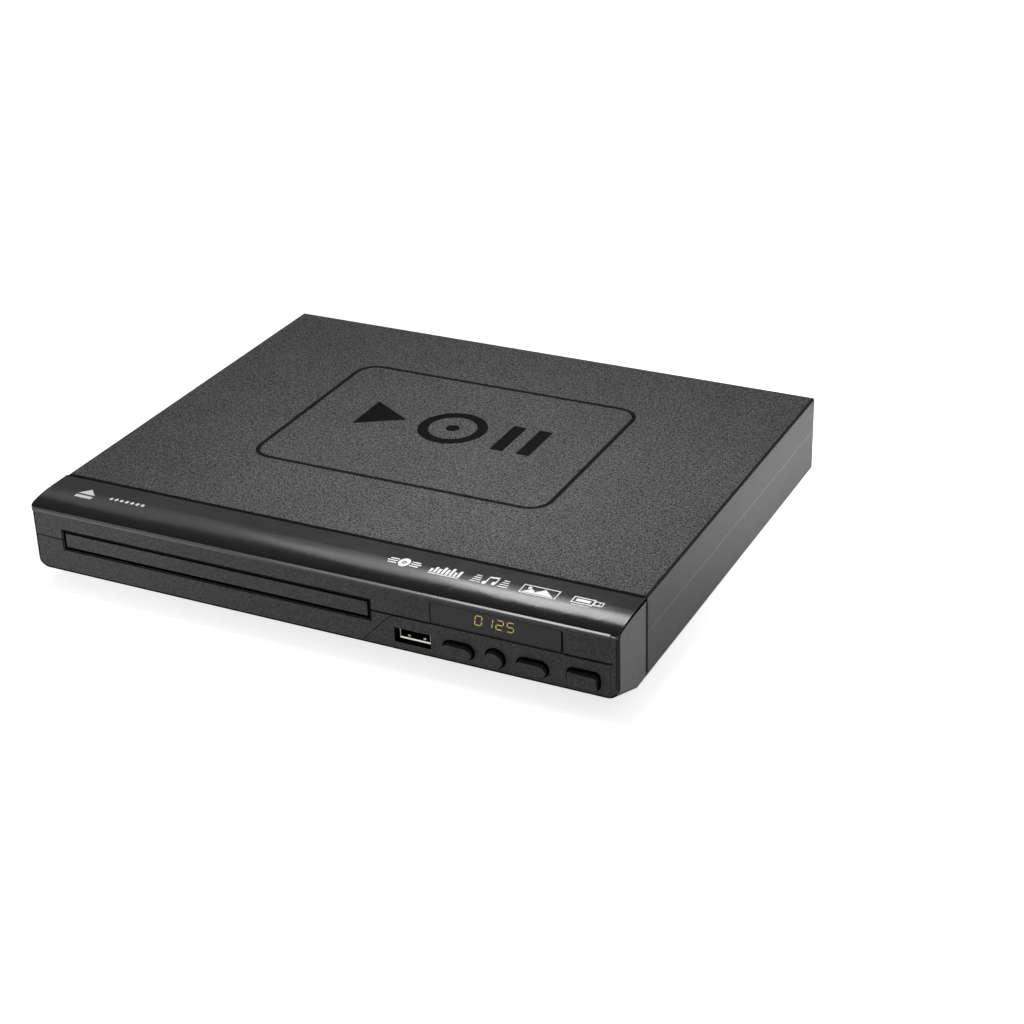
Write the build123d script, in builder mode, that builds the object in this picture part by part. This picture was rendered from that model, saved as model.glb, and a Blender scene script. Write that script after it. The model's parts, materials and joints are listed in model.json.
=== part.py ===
from build123d import *
import math
import os

# A low disc player with a loading tray, as separate pieces.
# Millimetres. Origin on the floor under the middle of the player, +X right, +Y back, +Z up.

# Case
case_width = 255.0
case_depth = 211.0  # front face to rear edge
case_height = 34.4  # under side to the top of the cover
foot_height = 2.5
wall = 2.0
edge_radius = 2.0  # long lower edges
front_corner_radius = 1.0
soft_edge = 0.4  # small roundings
split_height = 19.5  # under side to the joint between cover and bottom case
split_gap = 0.3
seam_gap = 0.9  # open joint between the front and the case
tongue_length = 4.0  # lips behind the seam
tongue_thickness = 1.2
lap_height = 2.0  # lip behind the side joint
overrun = 1.0  # how far a cut runs past a face
fit = 0.2  # between pieces that sit together
slip = 0.05  # radial clearance of a pin in its hole
running_gap = 0.3  # between curved faces that move past each other

# Cover
cover_radius = 1.0  # upper side edges
field_width = 135.5
field_depth = 100.5
field_middle = 120.05  # behind the front face
field_shift = 2.5  # to the left
field_radius = 10.0
groove_width = 2.0
groove_depth = 0.6
emblem_middle = 124.5  # behind the front face
emblem_radius = 15.0
emblem_ring = 4.6
emblem_hub_radius = 3.0
emblem_depth = 0.3
emblem_spread = 32.0  # ring to the signs beside it
emblem_height = 24.0
arrow_length = 20.0
pause_bar = 6.0
pause_pitch = 12.0

# Feet, posts and screws of the case
foot_diameter = 14.0
foot_seat = 0.6
foot_side = 22.0
foot_front = 17.0  # behind the seam
foot_rear = 18.0
post_side = 9.0
post_front = 11.0  # behind the seam
post_rear = 12.0
post_diameter = 8.0
post_height = 8.0
screw_diameter = 2.9
screw_head = 6.0
screw_head_height = 2.2
screw_length = 12.0
screw_seat = 5.0
screw_tip_gap = 1.0
head_clearance = 0.3

# Front bezel
bezel_depth = 24.6
bezel_wall = 2.5
front_lift = 5.0  # lower edge of the front face above the under side
slope_depth = 17.0
bezel_corner = 5.0  # lower corners of the front face
line_width = 0.6  # groove along the front
line_depth = 0.6
line_end = 2.4

# Hood
hood_thickness = 1.4
hood_round = 15.0  # length of the part that curves down
hood_drop = 2.9
hood_reach = 0.4  # in front of the front face
lip_reach = 1.0  # ledge in front of the hood's curve
lip_thickness = 1.0
lip_fall = 0.12
lip_round = 0.35
hood_corner_radius = 2.6

# Display window
display_side = 48.8  # middle from the right end
display_width = 53.8
display_height = 8.6
display_rise = 0.6
window_thickness = 1.4
window_ledge = 1.2

# Button panel
panel_length = 101.1
panel_slant = 12.5
panel_right = 3.4  # from the end of the case
panel_foot = 1.2
panel_gap = 0.15
panel_round = 8.0  # upper end of the slant
panel_flange = 1.2
panel_flange_thickness = 1.5

# Buttons
button_height = 5.8  # middle of the row above the front's lower edge
button_proud = 1.4
button_gap = 0.7
button_flange = 0.9
button_flange_thickness = 1.2
button_flange_height = 4.0
button_round = 0.5
button_travel = 0.6
button_stop_gap = 0.2
plunger_diameter = 4.0
open_close_side = 64.3  # middles from the right end
play_pause_side = 49.3
stop_side = 34.2
power_side = 14.0
capsule_width = 12.0
capsule_height = 5.7
round_diameter = 7.3
power_width = 12.1
power_height = 6.6
power_radius = 1.8

# Socket for a memory stick
usb_side = 83.5  # middle from the right end
usb_height = 6.2  # middle of its cut-out above the front's lower edge
usb_cut_width = 15.3
usb_cut_height = 6.1
usb_width = 13.1
usb_thickness = 5.8
usb_rise = 0.65  # above the middle of the cut-out
usb_sheet = 0.35
usb_recess = 2.4
usb_tongue_width = 11.1
usb_tongue_thickness = 1.8
usb_tongue_setback = 2.0
usb_tongue_gap = 0.55
usb_spring_spread = 6.6
usb_spring_setback = 1.7
usb_spring_diameter = 1.3
usb_spring_height = 0.45

# Front board and what it carries
front_board_depth = 15.5  # behind the front face
board_thickness = 1.6
front_board_gap = 4.0  # beside the loader
front_board_right = 6.0
front_board_foot = 5.0
front_board_top = 3.2
switch_size = 6.0
switch_thickness = 3.6
stem_diameter = 3.4
stem_length = 1.0
module_width = 46.0
module_height = 7.6
module_gap = 2.0
receiver_width = 6.0
receiver_height = 7.0
receiver_lens = 2.2

# Tray and door
door_lap = 3.8  # past each side of the tray
door_height = 6.2
door_gap = 1.0
door_thickness = 2.5
tray_width = 130.0
tray_length = 160.0
tray_height = 7.0
tray_travel = 128.0
tray_lip = 4.0
tray_rail = 3.0
disc_diameter = 120.0
small_disc_diameter = 80.0
disc_clearance = 1.0
recess_depth = 3.2
recess_floor = 1.2
small_step = 0.5
slot_width = 52.0
finger_radius = 11.0
rack_strip = 5.0

# Loader
loader_side = 7.7  # left end of the case to the ears
frame_setback = 5.0  # behind the front face
frame_length = 167.0
frame_lift = 2.1
frame_wall = 3.0
frame_plate = 1.8
rail_gap = 0.4
ledge_thickness = 1.8
ledge_gap = 0.2
tab_thickness = 1.3
tab_length = 12.0
tab_width = 3.6
tab_shares = (0.06, 0.3, 0.6, 0.94)  # middles along the frame
rear_bar_length = 14.0
rear_bar_height = 5.0
ear_length = 10.0
ear_width = 8.0
ear_height = 6.0
ear_thickness = 2.5
ear_front = 60.0
ear_rear = 150.0
loader_post_diameter = 7.0

# Gears
pressure = math.radians(20)
addendum_share = 0.9
dedendum_share = 1.2
backlash = 0.12
drive_module = 0.8
drive_teeth = 20
wheel_module = 0.5
wheel_teeth = 60
pulley_teeth = 18
gear_depth = 27.0  # behind the front face
gear_post = 3.0
gear_shoulder = 5.4
side_gap = 0.3
wheel_rise = 3.4
wheel_thickness = 2.6
hub_radius = 5.0

# Belt drive
pulley_radius = 10.0
motor_pulley_radius = 3.5
pulley_flange = 1.1
pulley_rim = 0.6
pulley_rise = 1.0
belt_thickness = 0.8
belt_distance = 26.0
motor_diameter = 20.0
motor_height = 6.2
motor_shaft = 1.5

# Cam slider
slider_thickness = 3.0
slider_gap = 1.8  # in front of the traverse
slider_travel = 18.0
slider_end = 8.0
slider_margin = 1.4
slider_play = 0.4
rib_thickness = 1.0
rib_height = 1.0
rib_reach = 12.0

# Traverse
traverse_front = 22.0  # in front of the spindle
traverse_rear = 74.2
traverse_left = 34.0
traverse_right = 50.0
traverse_plate = 2.0
traverse_drop = 8.1  # disc plane down to the plate's upper face
window_front = 13.8  # behind the spindle
window_rear = 71.0
window_width = 55.0
pivot_distance = 77.5
pivot_diameter = 4.0
pivot_lug = 8.0
pivot_lug_width = 9.0
pivot_end_gap = 1.2
tilt_degrees = 3.0
cam_pin_diameter = 3.0
cam_pin_rise = 1.0  # above the plate's upper face
cam_pin_length = 4.2
cam_tab_width = 16.0
cam_tab_thickness = 2.5

# Spindle
disc_lift = 1.5  # the disc runs this far above the recess
table_diameter = 29.0
table_thickness = 2.0
rotor_diameter = 24.0
rotor_height = 3.0
hub_diameter = 14.8
hub_height = 1.8
hub_chamfer = 0.8
spindle_diameter = 2.0
stator_flange = 28.0
stator_flange_thickness = 1.0
bearing_diameter = 12.0
bearing_height = 2.0

# Pickup
lens_start = 23.0  # nearest the spindle
pickup_travel = 35.0
rod_spread = 48.0
rod_diameter = 3.0
rod_rise = 0.9  # rod middle above the plate's upper face
holder_length = 3.2
holder_width = 6.0
holder_height = 3.0
pickup_width = 42.0
pickup_front = 9.0
pickup_rear = 12.0
pickup_height = 5.5
pickup_sink = 1.7
lug_width = 6.4
lug_front = 6.0
lug_rear = 10.0
lug_height = 4.4
lens_diameter = 5.0
lens_height = 1.2
actuator_width = 14.0
actuator_length = 11.0
actuator_height = 1.4
feed_module = 0.5
feed_teeth = 18
feed_wheel_module = 0.4
feed_wheel_teeth = 48
feed_motor_teeth = 18
feed_line = 34.0  # rack's pitch line from the spindle
feed_depth = 41.5  # gear behind the spindle
feed_bar = 4.0
feed_rack_height = 1.8
feed_rack_rise = 1.9
feed_wheel_rise = 0.3
feed_wheel_thickness = 1.2
feed_post = 2.0
feed_motor_diameter = 15.0
feed_motor_height = 3.7
feed_shaft = 1.0

# Clamp
bridge_thickness = 1.5
bridge_depth = 48.0
bridge_hole = 34.0
puck_diameter = 32.0
puck_flange = 40.0
puck_flange_thickness = 1.2
puck_lift = 0.4
puck_hollow = 15.6
puck_hollow_depth = 2.4
magnet_diameter = 18.0
magnet_thickness = 2.0

# Rear panel and sockets
rear_inset = 1.0
rear_thickness = 2.0
jack_reach = 8.0  # past the rear edge
jack_side = 75.5  # first socket from the right end
jack_pitch = 14.0
jack_height = 18.0
jack_diameter = 8.3
jack_bore = 7.0
jack_ring = 11.0
jack_ring_thickness = 1.2
jack_pin_bore = 3.3
jack_pin_depth = 9.0
jack_tip = 0.5
jack_block_depth = 12.0
jack_block_height = 24.0
hdmi_side = 26.5
hdmi_width = 15.0
hdmi_height = 5.6
hdmi_sheet = 0.5
hdmi_depth = 11.0
hdmi_tongue_width = 10.4
hdmi_tongue_height = 1.0
hdmi_setback = 1.0
inlet_side = 42.5  # middle from the left end
inlet_width = 21.0
inlet_height = 13.0
inlet_depth = 17.0
inlet_mouth_width = 15.2
inlet_mouth_height = 8.2
inlet_mouth_depth = 12.5
inlet_pin_diameter = 2.4
inlet_pin_pitch = 8.6
inlet_pin_setback = 3.0
vent_length = 14.0
vent_width = 2.0
vent_pitch = 5.0
vent_count = 9
vent_distance = 60.0  # middle of the row from the inlet

# Boards inside
board_lift = 4.0  # above the floor
board_post = 6.0
board_inset = 5.0
main_gap = 5.0  # beside the loader's ears
main_right = 14.0
main_front = 34.0  # behind the front face
board_rear = 1.0
power_board_side = 15.5
power_board_gap = 18.0  # between the boards
power_depth = 27.0
chip_size = 22.0
chip_thickness = 1.6
sink_size = 24.0
sink_base = 1.5
sink_height = 9.0
sink_fins = 6
sink_fin = 1.4
chip_side = 53.5
chip_depth = 84.0
capacitor_diameter = 6.3
capacitor_height = 8.0
capacitor_pitch = 10.0
capacitor_count = 4
capacitor_depth = 130.0
reservoir_diameter = 13.0
reservoir_height = 16.0
reservoir_place = 62.0  # from the power board's left end
transformer_place = 92.0
transformer_width = 22.0
transformer_depth = 18.0
transformer_height = 14.0
core_width = 10.0
core_lip = 1.5
ribbon_width = 22.0
ribbon_thickness = 0.4
ribbon_radius = 3.0
ribbon_side = 37.5
ribbon_rise = 9.0
ribbon_land = 6.0
lead_width = 5.0
lead_arch = 5.0

# Derived planes
front_reach = max(hood_reach + lip_reach, button_proud)
overall_depth = case_depth + front_reach + jack_reach
front_y = front_reach - overall_depth / 2
rear_y = front_y + case_depth
seam_y = front_y + bezel_depth
body_y = seam_y + seam_gap
base_z = foot_height
top_z = base_z + case_height
split_z = base_z + split_height
floor_z = base_z + wall
ceiling_z = top_z - wall
front_z = base_z + front_lift
side_x = case_width / 2
inner_x = side_x - wall
display_x = side_x - display_side
panel_right_x = side_x - panel_right
panel_left = panel_right_x - panel_length
open_close_x = side_x - open_close_side
play_pause_x = side_x - play_pause_side
stop_x = side_x - stop_side
power_x = side_x - power_side
usb_x = side_x - usb_side
panel_back_y = front_y + bezel_wall + panel_flange_thickness
front_board_y = front_y + front_board_depth
rear_face_y = rear_y - rear_inset
rear_back_y = rear_face_y - rear_thickness
tray_front_y = front_y + door_thickness
recess_radius = disc_diameter / 2 + disc_clearance
spindle_y = tray_front_y + tray_lip + recess_radius
tray_bottom_z = split_z - tray_height / 2
tray_top_z = split_z + tray_height / 2
recess_z = tray_top_z - recess_depth
pocket_z = recess_z - recess_floor
door_width = tray_width + 2 * door_lap
frame_x = tray_width / 2 + rail_gap
tray_x = loader_side + ear_width + frame_wall + frame_x - side_x
tray_left_x = tray_x - tray_width / 2
tray_right_x = tray_x + tray_width / 2
frame_right_x = tray_x + frame_x + frame_wall
frame_y = front_y + frame_setback
frame_end_y = frame_y + frame_length
slope_end_y = front_y + slope_depth
frame_z = floor_z + frame_lift
plate_z = frame_z + frame_plate
frame_top_z = tray_top_z + ledge_gap + tab_thickness
ear_z = floor_z + ear_height
gear_y = front_y + gear_depth
drive_radius = drive_module * drive_teeth / 2
rack_x = tray_left_x + tray_rail + rack_strip
gear_x = rack_x + drive_radius
wheel_z = plate_z + wheel_rise
wheel_top_z = wheel_z + wheel_thickness
pulley_x = gear_x + wheel_module * (wheel_teeth + pulley_teeth) / 2
motor_x = pulley_x + belt_distance
pulley_z = wheel_top_z + pulley_rise
pulley_top_z = tray_bottom_z - side_gap
disc_z = recess_z + disc_lift
deck_z = disc_z - traverse_drop
deck_bottom_z = deck_z - traverse_plate
pivot_y = spindle_y + pivot_distance
pivot_z = deck_z - traverse_plate / 2
traverse_y = spindle_y - traverse_front
cam_pin_z = deck_z + cam_pin_rise
cam_drop = (pivot_y - traverse_y) * math.sin(math.radians(tilt_degrees))
slider_back_y = traverse_y - slider_gap
slider_front_y = slider_back_y - slider_thickness
lens_y = spindle_y + lens_start
rod_z = deck_z + rod_rise
rod_front_y = spindle_y + window_front - holder_length
rod_rear_y = spindle_y + window_rear + holder_length
feed_y = spindle_y + feed_depth
feed_radius = feed_module * feed_teeth / 2
feed_x = tray_x + feed_line + feed_radius
feed_motor_y = feed_y + feed_wheel_module * (feed_wheel_teeth + feed_motor_teeth) / 2
feed_rack_z = deck_z + feed_rack_rise
feed_wheel_z = deck_z + feed_wheel_rise
bridge_z = frame_top_z
board_z = floor_z + board_lift
board_top_z = board_z + board_thickness
board_end_y = rear_back_y - board_rear
front_board_left = frame_right_x + front_board_gap
main_left = frame_right_x + ear_width + main_gap
main_right_x = side_x - main_right
main_front_y = front_y + main_front
power_left = power_board_side - side_x
power_right = main_left - power_board_gap
power_front_y = board_end_y - power_depth
chip_x = side_x - chip_side
reservoir_x = power_left + reservoir_place
transformer_x = power_left + transformer_place
ribbon_x = side_x - ribbon_side
jack_z = base_z + jack_height
jack_x = side_x - jack_side
hdmi_x = side_x - hdmi_side
inlet_x = inlet_side - side_x
vent_x = inlet_x + vent_distance
button_z = front_z + button_height
usb_cut_z = front_z + usb_height
usb_z = usb_cut_z + usb_rise
field_y = front_y + field_middle
emblem_y = front_y + emblem_middle
jack_places = [jack_x + number * jack_pitch for number in range(3)]
case_post_places = [
    (side * (side_x - post_side), y)
    for side in (-1, 1)
    for y in (seam_y + post_front, rear_y - post_rear)
]
foot_places = [
    (side * (side_x - foot_side), y)
    for side in (-1, 1)
    for y in (seam_y + foot_front, rear_y - foot_rear)
]
ear_offset = frame_x + frame_wall + ear_width / 2
loader_post_places = [
    (tray_x + side * ear_offset, front_y + depth)
    for side in (-1, 1)
    for depth in (ear_front, ear_rear)
]
main_post_places = [
    (x, y)
    for x in (main_left + board_inset, main_right_x - board_inset)
    for y in (main_front_y + board_inset, board_end_y - jack_block_depth - board_inset)
]
power_post_places = [
    (x, y)
    for x in (power_left + board_inset, power_right - board_inset)
    for y in (power_front_y + board_inset, board_end_y - board_inset)
]
board_post_places = main_post_places + power_post_places

cut = Mode.SUBTRACT
os.makedirs("parts", exist_ok=True)


def about(middle, size):
    """Low and high end of a stretch around its middle."""
    return (middle - size / 2, middle + size / 2)


def block(x_span, y_span, z_span, mode=Mode.ADD):
    """Box between its low and high ends along each axis."""
    spans = (x_span, y_span, z_span)
    with Locations(tuple((low + high) / 2 for low, high in spans)):
        Box(*(high - low for low, high in spans), mode=mode)


def post(x, y, z_span, diameter, mode=Mode.ADD):
    """Upright cylinder."""
    with Locations((x, y, sum(z_span) / 2)):
        Cylinder(diameter / 2, z_span[1] - z_span[0], mode=mode)


def bar(x, z, y_span, diameter, mode=Mode.ADD):
    """Cylinder lying front to back."""
    with Locations((x, sum(y_span) / 2, z)):
        Cylinder(diameter / 2, y_span[1] - y_span[0], rotation=(90, 0, 0), mode=mode)


def front_plane(y):
    """Upright plane seen from the front, X right and Z up, facing forward."""
    return Plane.XZ.offset(-y)


def save(piece, name):
    """Label a finished piece and write it."""
    piece.part.label = name
    export_step(piece.part, f"parts/{name}.step")


def involute(angle):
    return math.tan(angle) - angle


def polar(radius, angle):
    return (radius * math.cos(angle), radius * math.sin(angle))


def gear_outline(teeth, module, phase):
    """Spur gear around the origin, with the middle of one tooth at the angle given."""
    pitch_radius = teeth * module / 2
    base_radius = pitch_radius * math.cos(pressure)
    tip_radius = pitch_radius + module * addendum_share
    root_radius = pitch_radius - module * dedendum_share
    flank_start = max(base_radius, root_radius)
    flank_radii = (flank_start, (flank_start + tip_radius) / 2, tip_radius)
    half_tooth = (math.pi * module / 2 - backlash) / (2 * pitch_radius)
    widest = half_tooth + involute(pressure)
    half_angles = [widest - involute(math.acos(base_radius / radius)) for radius in flank_radii]
    feet = []
    with BuildSketch(mode=Mode.PRIVATE) as outline:
        with BuildLine():
            for number in range(teeth):
                middle = phase + 2 * math.pi * number / teeth
                rising = [polar(r, middle - a) for r, a in zip(flank_radii, half_angles)]
                falling = [polar(r, middle + a) for r, a in zip(flank_radii, half_angles)]
                feet.append([polar(root_radius, middle + turn * half_angles[0]) for turn in (-1, 1)])
                if root_radius < flank_start:
                    Line(feet[number][0], rising[0])
                    Line(falling[0], feet[number][1])
                ThreePointArc(*rising)
                Line(rising[2], falling[2])
                ThreePointArc(*reversed(falling))
            for number in range(teeth):
                Line(feet[number - 1][1], feet[number][0])
        make_face()
    return outline.sketch


def rack_outline(back_x, pitch_x, middle_y, before, after, module):
    """Straight rack with teeth towards +X and the middle of one tooth at the Y given."""
    half_tooth = (math.pi * module / 2 - backlash) / 2
    tip = module * addendum_share
    root = module * dedendum_share
    lean = math.tan(pressure)
    points = [(back_x, middle_y - (before + 0.5) * math.pi * module)]
    for number in range(-before, after + 1):
        y = middle_y + number * math.pi * module
        points.append((pitch_x - root, y - half_tooth - root * lean))
        points.append((pitch_x + tip, y - half_tooth + tip * lean))
        points.append((pitch_x + tip, y + half_tooth - tip * lean))
        points.append((pitch_x - root, y + half_tooth + root * lean))
    points.append((back_x, middle_y + (after + 0.5) * math.pi * module))
    with BuildSketch(mode=Mode.PRIVATE) as outline:
        with BuildLine():
            Polyline(*points, close=True)
        make_face()
    return outline.sketch


# Bottom case: tub open at the front and rear, with posts for everything that stands in it
with BuildPart() as bottom_case:
    block((-side_x, side_x), (body_y, rear_y), (base_z, split_z - split_gap))
    fillet(bottom_case.edges().filter_by(Axis.Y).group_by(Axis.Z)[0], edge_radius)
    block((-inner_x, inner_x), (body_y - overrun, rear_y + overrun), (floor_z, split_z), mode=cut)
    tongue_span = (seam_y - tongue_length, body_y + tongue_length)
    block((-inner_x, inner_x), tongue_span, (floor_z, floor_z + tongue_thickness))
    for side in (-1, 1):
        lip = sorted((side * inner_x, side * (inner_x - tongue_thickness)))
        block(lip, (seam_y - tongue_length, rear_back_y - fit), (floor_z, split_z + lap_height))
    for x, y in case_post_places:
        post(x, y, (base_z, base_z + post_height), post_diameter + wall)
        post(x, y, (base_z - overrun, base_z + screw_seat), screw_head + 2 * head_clearance, mode=cut)
        post(x, y, (base_z, base_z + post_height + overrun), screw_diameter + 2 * fit, mode=cut)
    for x, y in loader_post_places:
        post(x, y, (base_z, ear_z), loader_post_diameter)
        post(x, y, (floor_z, ear_z + overrun), screw_diameter + 2 * slip, mode=cut)
    for x, y in board_post_places:
        post(x, y, (base_z, board_z), board_post)
        post(x, y, (floor_z, board_z + overrun), screw_diameter + 2 * slip, mode=cut)
    for x, y in foot_places:
        post(x, y, (base_z - overrun, base_z + foot_seat), foot_diameter + 2 * fit, mode=cut)
    with BuildSketch(Plane.XY.offset(base_z - overrun)):
        with Locations(((main_left + main_right_x) / 2, (main_front_y + board_end_y) / 2)):
            with GridLocations(vent_pitch, vent_length + vent_pitch, vent_count, 3):
                SlotOverall(vent_length, vent_width, rotation=90)
    extrude(amount=wall + 2 * overrun, mode=cut)
save(bottom_case, "bottom_case")

# Top cover: grooved top, side skirts and four long posts
with BuildPart() as top_cover:
    block((-side_x, side_x), (body_y, rear_y), (split_z, top_z))
    fillet(top_cover.edges().filter_by(Axis.Y).group_by(Axis.Z)[-1], cover_radius)
    hollow_y = (body_y - overrun, rear_y + overrun)
    block((-inner_x, inner_x), hollow_y, (split_z - overrun, ceiling_z), mode=cut)
    lip_x = inner_x - tongue_thickness
    lip_z = ceiling_z - tongue_thickness
    block((-inner_x, inner_x), tongue_span, (lip_z, ceiling_z))
    for side in (-1, 1):
        lip = sorted((side * inner_x, side * lip_x))
        block(lip, tongue_span, (split_z + lap_height + fit, ceiling_z))
    for x, y in case_post_places:
        post(x, y, (base_z + post_height, ceiling_z + wall / 2), post_diameter)
        hole_top = base_z + screw_seat + screw_length + screw_tip_gap
        post(x, y, (base_z, hole_top), screw_diameter + 2 * slip, mode=cut)
    with BuildSketch(Plane.XY.offset(top_z)):
        with Locations((-field_shift, field_y)):
            RectangleRounded(field_width, field_depth, field_radius)
            inner_width = field_width - 2 * groove_width
            inner_depth = field_depth - 2 * groove_width
            RectangleRounded(inner_width, inner_depth, field_radius - groove_width, mode=cut)
    extrude(amount=-groove_depth, mode=cut)
    with BuildSketch(Plane.XY.offset(top_z)):
        with Locations((-field_shift, emblem_y)):
            Circle(emblem_radius)
            Circle(emblem_radius - emblem_ring, mode=cut)
            Circle(emblem_hub_radius)
        with Locations((-field_shift - emblem_spread, emblem_y)):
            Polygon(
                (-arrow_length / 2, -emblem_height / 2),
                (arrow_length / 2, 0),
                (-arrow_length / 2, emblem_height / 2),
                align=None,
            )
        with Locations((emblem_spread - field_shift, emblem_y)):
            with GridLocations(pause_pitch, 0, 2, 1):
                Rectangle(pause_bar, emblem_height)
    extrude(amount=-emblem_depth, mode=cut)
save(top_cover, "top_cover")

# Outline of the front seen from above, with its rounded corners
with BuildSketch() as front_plan:
    with Locations((0, (front_y + seam_y) / 2)):
        Rectangle(case_width, bezel_depth)
    fillet(front_plan.vertices().group_by(Axis.Y)[0], front_corner_radius)

# Hood's curve, seen from the side
curve_y = front_y - hood_reach + hood_round
curve_z = top_z - hood_drop
lip_bottom_z = curve_z - lip_thickness
hood_back_y = front_y - hood_reach + hood_thickness
hood_front_y = front_y - hood_reach - lip_reach
under_round = hood_round - hood_thickness
under_drop = hood_drop - hood_thickness


def bezel_section(y, bottom_z, radius):
    """Front of the player cut across at one depth, with rounded lower corners."""
    with BuildSketch(front_plane(y), mode=Mode.PRIVATE) as section:
        with Locations((0, (bottom_z + top_z) / 2)):
            Rectangle(case_width, top_z - bottom_z)
        fillet(section.vertices().group_by(Axis.Y)[0], radius)
    return section.sketch


# Front bezel: front wall, end walls and sloping under side, open towards the hood and the case.
# Its lower corners are rounder at the front than along the case.
with BuildPart() as front_bezel:
    slope_section = bezel_section(slope_end_y, base_z, edge_radius)
    loft((bezel_section(front_y, front_z, bezel_corner), slope_section), ruled=True)
    extrude(slope_section, amount=slope_end_y - seam_y)
    with BuildSketch(Plane.YZ):
        with BuildLine():
            Polyline(
                (curve_y, top_z - hood_thickness),
                (seam_y, top_z - hood_thickness),
                (seam_y, 0),
                (front_y, 0),
                (front_y, lip_bottom_z),
                (hood_back_y, lip_bottom_z),
                (hood_back_y, curve_z),
            )
            EllipticalCenterArc((curve_y, curve_z), under_round, under_drop, start_angle=90, arc_size=90)
        make_face()
    extrude(amount=side_x + overrun, both=True, mode=Mode.INTERSECT)
    extrude(front_plan.sketch, amount=top_z, mode=Mode.INTERSECT)
    inside_lift = front_lift * (slope_depth - bezel_wall) / slope_depth
    with BuildSketch(Plane.YZ):
        with BuildLine():
            Polyline(
                (seam_y + overrun, floor_z),
                (slope_end_y, floor_z),
                (front_y + bezel_wall, floor_z + inside_lift),
                (front_y + bezel_wall, top_z),
                (seam_y + overrun, top_z),
                close=True,
            )
        make_face()
    extrude(amount=inner_x, both=True, mode=cut)
    through = (front_y - overrun, front_y + bezel_wall + overrun)
    opening_x = about(tray_x, door_width + 2 * door_gap)
    opening_z = about(split_z, door_height + 2 * door_gap)
    block(opening_x, through, opening_z, mode=cut)
    display_z = split_z + display_rise + display_height / 2
    sight_x = about(display_x, display_width - 2 * window_ledge)
    sight_z = about(display_z, display_height - 2 * window_ledge)
    block(sight_x, through, sight_z, mode=cut)
    seat_y = (front_y - overrun, front_y + window_thickness)
    block(about(display_x, display_width), seat_y, about(display_z, display_height), mode=cut)
    line_y = (front_y - overrun, front_y + line_depth)
    block((-side_x - overrun, side_x - line_end), line_y, about(split_z, line_width), mode=cut)
    with BuildSketch(front_plane(front_y + bezel_wall + overrun)) as panel_opening:
        panel_bottom_z = front_z + panel_foot
        Polygon(
            (panel_left, panel_bottom_z),
            (panel_right_x, panel_bottom_z),
            (panel_right_x, split_z),
            (panel_left + panel_slant, split_z),
            align=None,
        )
        fillet(panel_opening.vertices().group_by(Axis.Y)[-1].sort_by(Axis.X)[0], panel_round)
    extrude(amount=bezel_wall + 2 * overrun, mode=cut)
save(front_bezel, "front_bezel")

# Gloss hood over the front, ending in a narrow lip
with BuildPart() as hood:
    with BuildSketch(Plane.YZ):
        with BuildLine():
            Polyline(
                (hood_back_y, curve_z),
                (hood_back_y, lip_bottom_z),
                (hood_front_y, lip_bottom_z),
                (hood_front_y, curve_z - lip_fall),
                (front_y - hood_reach, curve_z),
            )
            EllipticalCenterArc((curve_y, curve_z), hood_round, hood_drop, start_angle=90, arc_size=90)
            Polyline(
                (curve_y, top_z),
                (seam_y, top_z),
                (seam_y, top_z - hood_thickness),
                (curve_y, top_z - hood_thickness),
            )
            EllipticalCenterArc((curve_y, curve_z), under_round, under_drop, start_angle=90, arc_size=90)
        make_face()
    extrude(amount=side_x, both=True)
    fillet(hood.edges().filter_by(Axis.X).group_by(Axis.Y)[0], lip_round)
    with BuildSketch() as hood_plan:
        with Locations((0, (hood_front_y + seam_y) / 2)):
            Rectangle(case_width, seam_y - hood_front_y)
        fillet(hood_plan.vertices().group_by(Axis.Y)[0], hood_corner_radius)
    extrude(amount=top_z, mode=Mode.INTERSECT)
save(hood, "hood")

# Smoked window of the display
with BuildPart() as display_window:
    pane_x = about(display_x, display_width - 2 * panel_gap)
    pane_z = about(display_z, display_height - 2 * panel_gap)
    block(pane_x, (front_y, front_y + window_thickness), pane_z)
save(display_window, "display_window")


def button_outline(shape, grow):
    """Face of one button, grown all round."""
    with BuildSketch(mode=Mode.PRIVATE) as outline:
        if shape == "capsule":
            SlotOverall(capsule_width + 2 * grow, capsule_height + 2 * grow)
        elif shape == "round":
            Circle(round_diameter / 2 + grow)
        else:
            RectangleRounded(power_width + 2 * grow, power_height + 2 * grow, power_radius + grow)
    return outline.sketch


button_places = {
    "open_close_button": ("capsule", open_close_x),
    "play_pause_button": ("round", play_pause_x),
    "stop_button": ("capsule", stop_x),
    "power_button": ("rectangle", power_x),
}

# Button panel: insert with a slanted end, held by a flange behind the bezel, with a pocket for the socket
button_holes = [(x, button_outline(shape, button_gap)) for shape, x in button_places.values()]
with BuildPart() as button_panel:
    with BuildSketch(front_plane(panel_back_y)):
        add(panel_opening.sketch_local)
        offset(amount=panel_flange, mode=Mode.REPLACE)
    extrude(amount=panel_flange_thickness)
    under_flange_z = (base_z, floor_z + front_lift + fit)
    block((-side_x, side_x), (front_y, panel_back_y), under_flange_z, mode=cut)
    with BuildSketch(front_plane(front_y + bezel_wall)):
        add(panel_opening.sketch_local)
        offset(amount=-panel_gap, mode=Mode.REPLACE)
    extrude(amount=bezel_wall)
    with BuildSketch(front_plane(panel_back_y + overrun)):
        for x, hole in button_holes:
            with Locations((x, button_z)):
                add(hole)
        with Locations((usb_x, usb_cut_z)):
            Rectangle(usb_cut_width, usb_cut_height)
    extrude(amount=panel_back_y - front_y + 2 * overrun, mode=cut)
    pocket_depth = (front_y + usb_recess - fit, panel_back_y + overrun)
    pocket_height = about(usb_z, usb_thickness + 2 * fit)
    block(about(usb_x, usb_width + 2 * fit), pocket_depth, pocket_height, mode=cut)
save(button_panel, "button_panel")

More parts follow.
